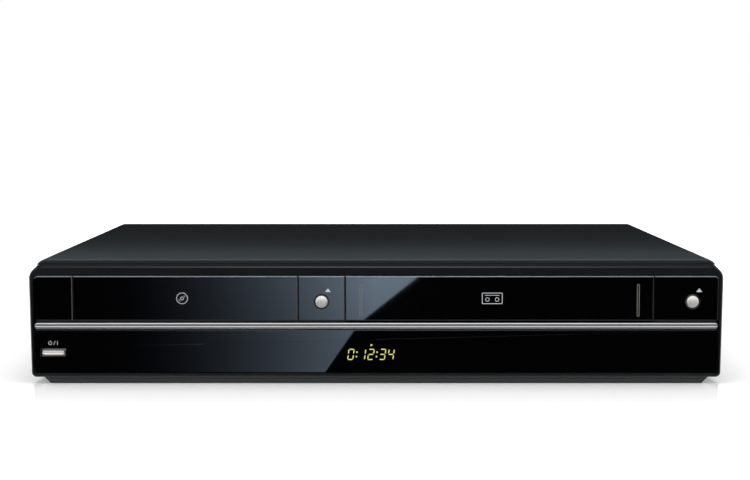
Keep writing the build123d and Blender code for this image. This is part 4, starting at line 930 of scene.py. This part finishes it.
class PLAYER_OT_socket_rings(bpy.types.Operator):
    """Adds the coloured rings and the gold shells of the phono sockets."""
    bl_idname = "player.socket_rings"
    bl_label = "Socket Rings"

    def execute(self, context):
        low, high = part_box("phono_jacks")
        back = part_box("rear_panel")[1].y
        tip = (high.y - back) / MM
        ring = in_metres(RING_PROFILE)
        shell = in_metres([(radius, tip - before) for radius, before in SHELL_PROFILE])
        gold = gold_contact(settings_of(context))
        finishes = {code: ring_plastic("ring_" + code[1:].lower(), code)
                    for code in sorted(set(RING_COLOURS))}
        columns = len(RING_COLOURS)
        for column in range(columns):
            x = low.x + SOCKET_PITCH / 2 + column * SOCKET_PITCH
            for row, rise in enumerate(SOCKET_ROWS):
                z = low.z + rise
                colour = finishes[RING_COLOURS[(column + row) % columns]]
                turned_piece(f"socket_ring_{column}_{row}", ring, (x, back - RING_SEAT, z), 40, colour,
                             "casing")
                turned_piece(f"socket_shell_{column}_{row}", shell, (x, back, z), 40, gold,
                             "casing")
        return {"FINISHED"}


# --- stage
CAMERA_BACK = 1031.3 * MM
CAMERA_HEIGHT = 167.9 * MM
CAMERA_X = -0.7 * MM
CAMERA_PITCH = math.radians(4.337)
CAMERA_SIGHT = 50.0
FOCAL_SHARE = 1675 / 750
SENSOR = 36.0
WHITE = (1, 1, 1, 1)
WORLD_ON_MATT = 0.45
FLOOR_REACH = 6.0
FLOOR_LIFT = 0.2
LIFT_SPAN = (0.4, 1.2)
MIRROR_SHARE = 0.29
MIRROR_FADE = 128 * MM
MIRROR_EDGE = 1.5 * MM
MIRROR_BLUR = 0.04
# name, place, aim, size and watts
SOFTBOXES = (("overhead_softbox", (0.0, -0.25, 1.9), (0.0, 0.0, 0.0), (2.4, 1.6), 26.0),
             ("front_softbox", (0.0, -2.4, 1.6), (0.0, 0.0, 0.05), (3.4, 2.2), 22.0))
STRIP_RISE = 110 * MM
STRIP_SIZE = (1.0, 0.04)
STRIP_POWER = 3.0
CLOTH_SPAN = (26 * MM, 3.5)
CLOTH_HALF = 0.75
CLOTH_RISE = 0.2 * MM
WALL_Y = 1.2
WALL_HALF = 3.0
WALL_HEIGHT = 3.2
# right edge of the gloss card in millimetres: distance before the face, X
CARD_EDGE = [(0, -40), (45, -33), (262, -16.3), (322, -9.7), (689, 45), (900, 84), (1350, 180)]
CARD_LEFT = -0.5
CARD_SPAN = (42 * MM, 1.35)
CARD_RISE = 0.4 * MM
CARD_STEPS = 48
GLOW_START_X = -184 * MM
GLOW_POWER = 3.0
BELL_WIDTH = 0.26
BELL_BASE = 0.15
EULER = 2.718
OVERHEAD_Z = 1.5
OVERHEAD_HALF = 1.0
OVERHEAD_SPAN = (-0.7, 0.1)
SIDE_CARD_X = 1.1
SIDE_CARD_SPAN = (-0.9, 0.2)
SIDE_CARD_HEIGHTS = (0.02, 0.9)


def card_finish(name, hex_code, strength):
    """A card that glows on one side and is clear from the other; its shader is the glow."""
    material = bpy.data.materials.new(name)
    tree = empty_tree(material)
    glow = add_node(tree, "ShaderNodeEmission", {"Color": linear(hex_code), "Strength": strength})
    clear = add_node(tree, "ShaderNodeBsdfTransparent")
    side = add_node(tree, "ShaderNodeNewGeometry")
    mix = add_node(tree, "ShaderNodeMixShader", links={
        "Fac": side.outputs["Backfacing"], 1: glow.outputs["Emission"], 2: clear.outputs["BSDF"]})
    add_node(tree, "ShaderNodeOutputMaterial", links={"Surface": mix.outputs["Shader"]})
    place = add_node(tree, "ShaderNodeTexCoord").outputs["Object"]
    axes = add_node(tree, "ShaderNodeSeparateXYZ", links={"Vector": place})
    return Look(material, tree, glow, axes.outputs)


def place_card(name, rows, facing, material):
    """A stage card from rows of corners, seen only in gloss; its glowing side looks along facing."""
    work = bmesh.new()
    bridge(work, [[work.verts.new(corner) for corner in row] for row in rows], closed=False)
    work.normal_update()
    bmesh.ops.reverse_faces(work, faces=[face for face in work.faces if face.normal.dot(Vector(facing)) < 0])
    card = place_mesh(name, work, material)
    for ray in ("camera", "diffuse", "shadow", "transmission"):
        setattr(card, "visible_" + ray, False)
    card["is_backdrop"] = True
    return card


def card_edge_x(ahead):
    """X of the gloss card's right edge at a distance before the face."""
    for (s0, x0), (s1, x1) in zip(CARD_EDGE, CARD_EDGE[1:]):
        if ahead <= s1 * MM:
            return (x0 + (x1 - x0) * (ahead / MM - s0) / (s1 - s0)) * MM
    return CARD_EDGE[-1][1] * MM


def link_light(source, names, state):
    """Lets the light of a card or a lamp reach only some nodes, or all nodes but some."""
    group = bpy.data.collections.new(source.name + "_links")
    for name in names:
        group.objects.link(NODES[name])
    for entry in group.collection_objects:
        entry.light_linking.link_state = state
    source.light_linking.receiver_collection = group


class PLAYER_OT_stage(bpy.types.Operator):
    """Sets the camera, the pale floor, the soft lamps and the cards that the gloss mirrors."""
    bl_idname = "player.stage"
    bl_label = "Stage"

    def execute(self, context):
        settings = settings_of(context)
        self.set_camera(context)
        self.set_world(context)
        self.set_floor()
        self.set_lamps(context)
        self.set_dark_cards()
        self.set_gloss_card(settings)
        self.set_bevel_cards(settings)
        context.scene.view_settings.view_transform = "Standard"
        return {"FINISHED"}

    def set_camera(self, context):
        lens = bpy.data.cameras.new("photo_camera")
        lens.sensor_width = SENSOR
        lens.lens = SENSOR * FOCAL_SHARE
        lens.clip_end = CAMERA_SIGHT
        camera = bpy.data.objects.new("photo_camera", lens)
        camera.location = (CAMERA_X, FACE_Y - CAMERA_BACK, CAMERA_HEIGHT)
        camera.rotation_euler = (math.pi / 2 - CAMERA_PITCH, 0, 0)
        context.scene.collection.objects.link(camera)
        context.scene.camera = camera

    def set_world(self, context):
        """A world that looks white, but lights matt surfaces less."""
        world = bpy.data.worlds.new("studio")
        tree = empty_tree(world)
        path = add_node(tree, "ShaderNodeLightPath")
        seen = calculate(tree, "MAXIMUM", path.outputs["Is Camera Ray"], path.outputs["Is Transmission Ray"])
        seen = calculate(tree, "MAXIMUM", seen, path.outputs["Is Glossy Ray"])
        background = add_node(tree, "ShaderNodeBackground", {"Color": WHITE},
                              {"Strength": remap(tree, seen, (0.0, 1.0), (WORLD_ON_MATT, 1.0))})
        add_node(tree, "ShaderNodeOutputWorld", links={"Surface": background.outputs["Background"]})
        context.scene.world = world

    def set_floor(self):
        """White paper with a thin gloss that mirrors the foot of the face and fades out."""
        material = bpy.data.materials.new("pale_floor")
        tree = empty_tree(material)
        place = add_node(tree, "ShaderNodeTexCoord").outputs["Object"]
        gloss = add_node(tree, "ShaderNodeBsdfGlossy", {"Color": WHITE, "Roughness": MIRROR_BLUR})
        blend = add_node(tree, "ShaderNodeMixShader", links={
            "Fac": self.mirror_share(tree, place), 1: self.paper(tree, place), 2: gloss.outputs["BSDF"]})
        add_node(tree, "ShaderNodeOutputMaterial", links={"Surface": blend.outputs["Shader"]})
        work = bmesh.new()
        corners = ((-1, -1), (1, -1), (1, 1), (-1, 1))
        work.faces.new([work.verts.new((x * FLOOR_REACH, y * FLOOR_REACH, 0.0)) for x, y in corners])
        place_mesh("floor", work, material)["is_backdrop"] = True

    def paper(self, tree, place):
        """White paper, lifted for the camera and in gloss, and more so towards the horizon."""
        paper = add_node(tree, "ShaderNodeBsdfDiffuse", {"Color": linear("#F4F4F4")})
        path = add_node(tree, "ShaderNodeLightPath")
        seen = calculate(tree, "MAXIMUM", path.outputs["Is Camera Ray"], path.outputs["Is Glossy Ray"])
        away = add_node(tree, "ShaderNodeVectorMath", {"operation": "LENGTH"}, {0: place}).outputs["Value"]
        glow = remap(tree, away, LIFT_SPAN, (FLOOR_LIFT, 1.0))
        lift = add_node(tree, "ShaderNodeEmission", {"Color": WHITE},
                        {"Strength": calculate(tree, "MULTIPLY", seen, glow)})
        white = add_node(tree, "ShaderNodeAddShader", links={
            0: paper.outputs["BSDF"], 1: lift.outputs["Emission"]})
        return white.outputs["Shader"]

    def mirror_share(self, tree, place):
        """How much the floor mirrors: most at the face, nothing beside or behind it."""
        axes = add_node(tree, "ShaderNodeSeparateXYZ", links={"Vector": place}).outputs
        ahead = calculate(tree, "SUBTRACT", FACE_Y, axes["Y"])
        fade = remap(tree, ahead, (0.0, MIRROR_FADE), (MIRROR_SHARE, 0.0))
        narrowing = calculate(tree, "SUBTRACT", 1.0, calculate(tree, "DIVIDE", ahead, CAMERA_BACK))
        half_width = calculate(tree, "MULTIPLY", narrowing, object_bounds()[1].x - MIRROR_EDGE)
        inside = calculate(tree, "SUBTRACT", half_width, calculate(tree, "ABSOLUTE", axes["X"]))
        share = calculate(tree, "MULTIPLY", fade, remap(tree, inside, (0.0, MIRROR_EDGE), (0.0, 1.0)))
        return calculate(tree, "MULTIPLY", share, calculate(tree, "GREATER_THAN", ahead, 0.0))

    def set_lamps(self, context):
        """Two large softboxes, and a strip above the front of the cover that lights the cover alone."""
        for softbox in SOFTBOXES:
            self.add_lamp(context, *softbox)
        low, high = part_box("top_cover")
        above = (0.0, low.y, high.z + STRIP_RISE)
        strip = self.add_lamp(context, "cover_strip_lamp", above, (0.0, low.y, 0.0), STRIP_SIZE,
                              STRIP_POWER)
        strip.visible_glossy = False
        link_light(strip, ["top_cover"], "INCLUDE")

    def add_lamp(self, context, name, place, aim, size, power):
        data = bpy.data.lights.new(name, "AREA")
        data.shape = "RECTANGLE"
        data.size, data.size_y = size
        data.energy = power
        lamp = bpy.data.objects.new(name, data)
        lamp.location = place
        lamp.rotation_euler = (Vector(aim) - Vector(place)).to_track_quat("-Z", "Y").to_euler()
        lamp.visible_camera = False
        context.scene.collection.objects.link(lamp)
        return lamp

    def set_dark_cards(self):
        """A black cloth on the floor before the face, and a dark wall far behind the cover."""
        rows = [[(x, FACE_Y - ahead, CLOTH_RISE) for ahead in CLOTH_SPAN] for x in (-CLOTH_HALF, CLOTH_HALF)]
        place_card("front_cloth", rows, (0, 0, 1), card_finish("black_cloth", "#000000", 0.0).material)
        rows = [[(x, WALL_Y, z) for z in (0.0, WALL_HEIGHT)] for x in (-WALL_HALF, WALL_HALF)]
        place_card("back_wall", rows, (0, -1, 0), card_finish("dark_wall", "#000000", 0.0).material)

    def set_gloss_card(self, settings):
        """A glow on the cloth that grows to the right and ends in a bent edge; the face mirrors it."""
        near, far = CARD_SPAN
        rows = []
        for step in range(CARD_STEPS + 1):
            ahead = near + (far - near) * (step / CARD_STEPS) ** 1.5
            rows.append([(x, FACE_Y - ahead, CARD_RISE) for x in (CARD_LEFT, card_edge_x(ahead))])
        look = card_finish("gloss_glow", "#CDE5FF", 0.0)
        tree = look.tree
        ahead = calculate(tree, "SUBTRACT", FACE_Y, look.place["Y"])
        spread = calculate(tree, "ADD", calculate(tree, "DIVIDE", ahead, CAMERA_BACK), 1.0)
        across = calculate(tree, "DIVIDE", look.place["X"], spread)
        grown = calculate(tree, "POWER", remap(tree, across, (GLOW_START_X, 0.0), (0.0, 1.0)), GLOW_POWER)
        level = calculate(tree, "MULTIPLY", grown, remap(tree, ahead, (0.15, 0.6), (0.14, 0.2)))
        level = calculate(tree, "MULTIPLY", level, remap(tree, ahead, (0.69, 0.76), (1.0, 0.08)))
        level = calculate(tree, "MULTIPLY", level, settings.gloss_card)
        tree.links.new(level, look.shader.inputs["Strength"])
        card = place_card("gloss_card", rows, (0, 0, 1), look.material)
        link_light(card, NODE_FINISHES[fascia_acrylic], "INCLUDE")

    def set_bevel_cards(self, settings):
        """Cards overhead and at both sides, which draw the thin light lines along the bevels."""
        look = card_finish("overhead_glow", "#F2F8FF", 0.0)
        tree = look.tree
        off = calculate(tree, "DIVIDE", look.place["X"], BELL_WIDTH)
        power = calculate(tree, "MULTIPLY", calculate(tree, "MULTIPLY", off, off), -0.5)
        bell = calculate(tree, "MULTIPLY", calculate(tree, "POWER", EULER, power), settings.bevel_card)
        level = calculate(tree, "ADD", bell, settings.bevel_card * BELL_BASE)
        tree.links.new(level, look.shader.inputs["Strength"])
        rows = [[(x, y, OVERHEAD_Z) for y in OVERHEAD_SPAN] for x in (-OVERHEAD_HALF, OVERHEAD_HALF)]
        card = place_card("overhead_card", rows, (0, 0, -1), look.material)
        link_light(card, ["top_cover"], "EXCLUDE")
        for side, name in ((-1, "left_card"), (1, "right_card")):
            material = card_finish(name + "_glow", "#FFF6EC", settings.bevel_card).material
            rows = [[(side * SIDE_CARD_X, y, z) for z in SIDE_CARD_HEIGHTS] for y in SIDE_CARD_SPAN]
            place_card(name, rows, (-side, 0, 0), material)


# --- panel and registration
STEPS = [
    PLAYER_OT_stage, PLAYER_OT_finish_nodes, PLAYER_OT_display, PLAYER_OT_printed_marks, PLAYER_OT_trim,
    PLAYER_OT_eject_buttons, PLAYER_OT_power_button, PLAYER_OT_door_grooves, PLAYER_OT_socket_rings,
]


class PLAYER_PT_panel(bpy.types.Panel):
    bl_label = "Disc and Cassette Player"
    bl_idname = "PLAYER_PT_panel"
    bl_space_type = "VIEW_3D"
    bl_region_type = "UI"
    bl_category = "Player"

    def draw(self, context):
        settings = settings_of(context)
        for name in PlayerSettings.__annotations__:
            self.layout.prop(settings, name)
        for step in STEPS:
            self.layout.operator(step.bl_idname)


CLASSES = [PlayerSettings, *STEPS, PLAYER_PT_panel]


def register():
    for cls in CLASSES:
        bpy.utils.register_class(cls)
    bpy.types.Scene.player_settings = PointerProperty(type=PlayerSettings)


def unregister():
    del bpy.types.Scene.player_settings
    for cls in reversed(CLASSES):
        bpy.utils.unregister_class(cls)


def main():
    register()
    for step in STEPS:
        group, action = step.bl_idname.split(".")
        getattr(getattr(bpy.ops, group), action)()


if __name__ == "__main__":
    main()
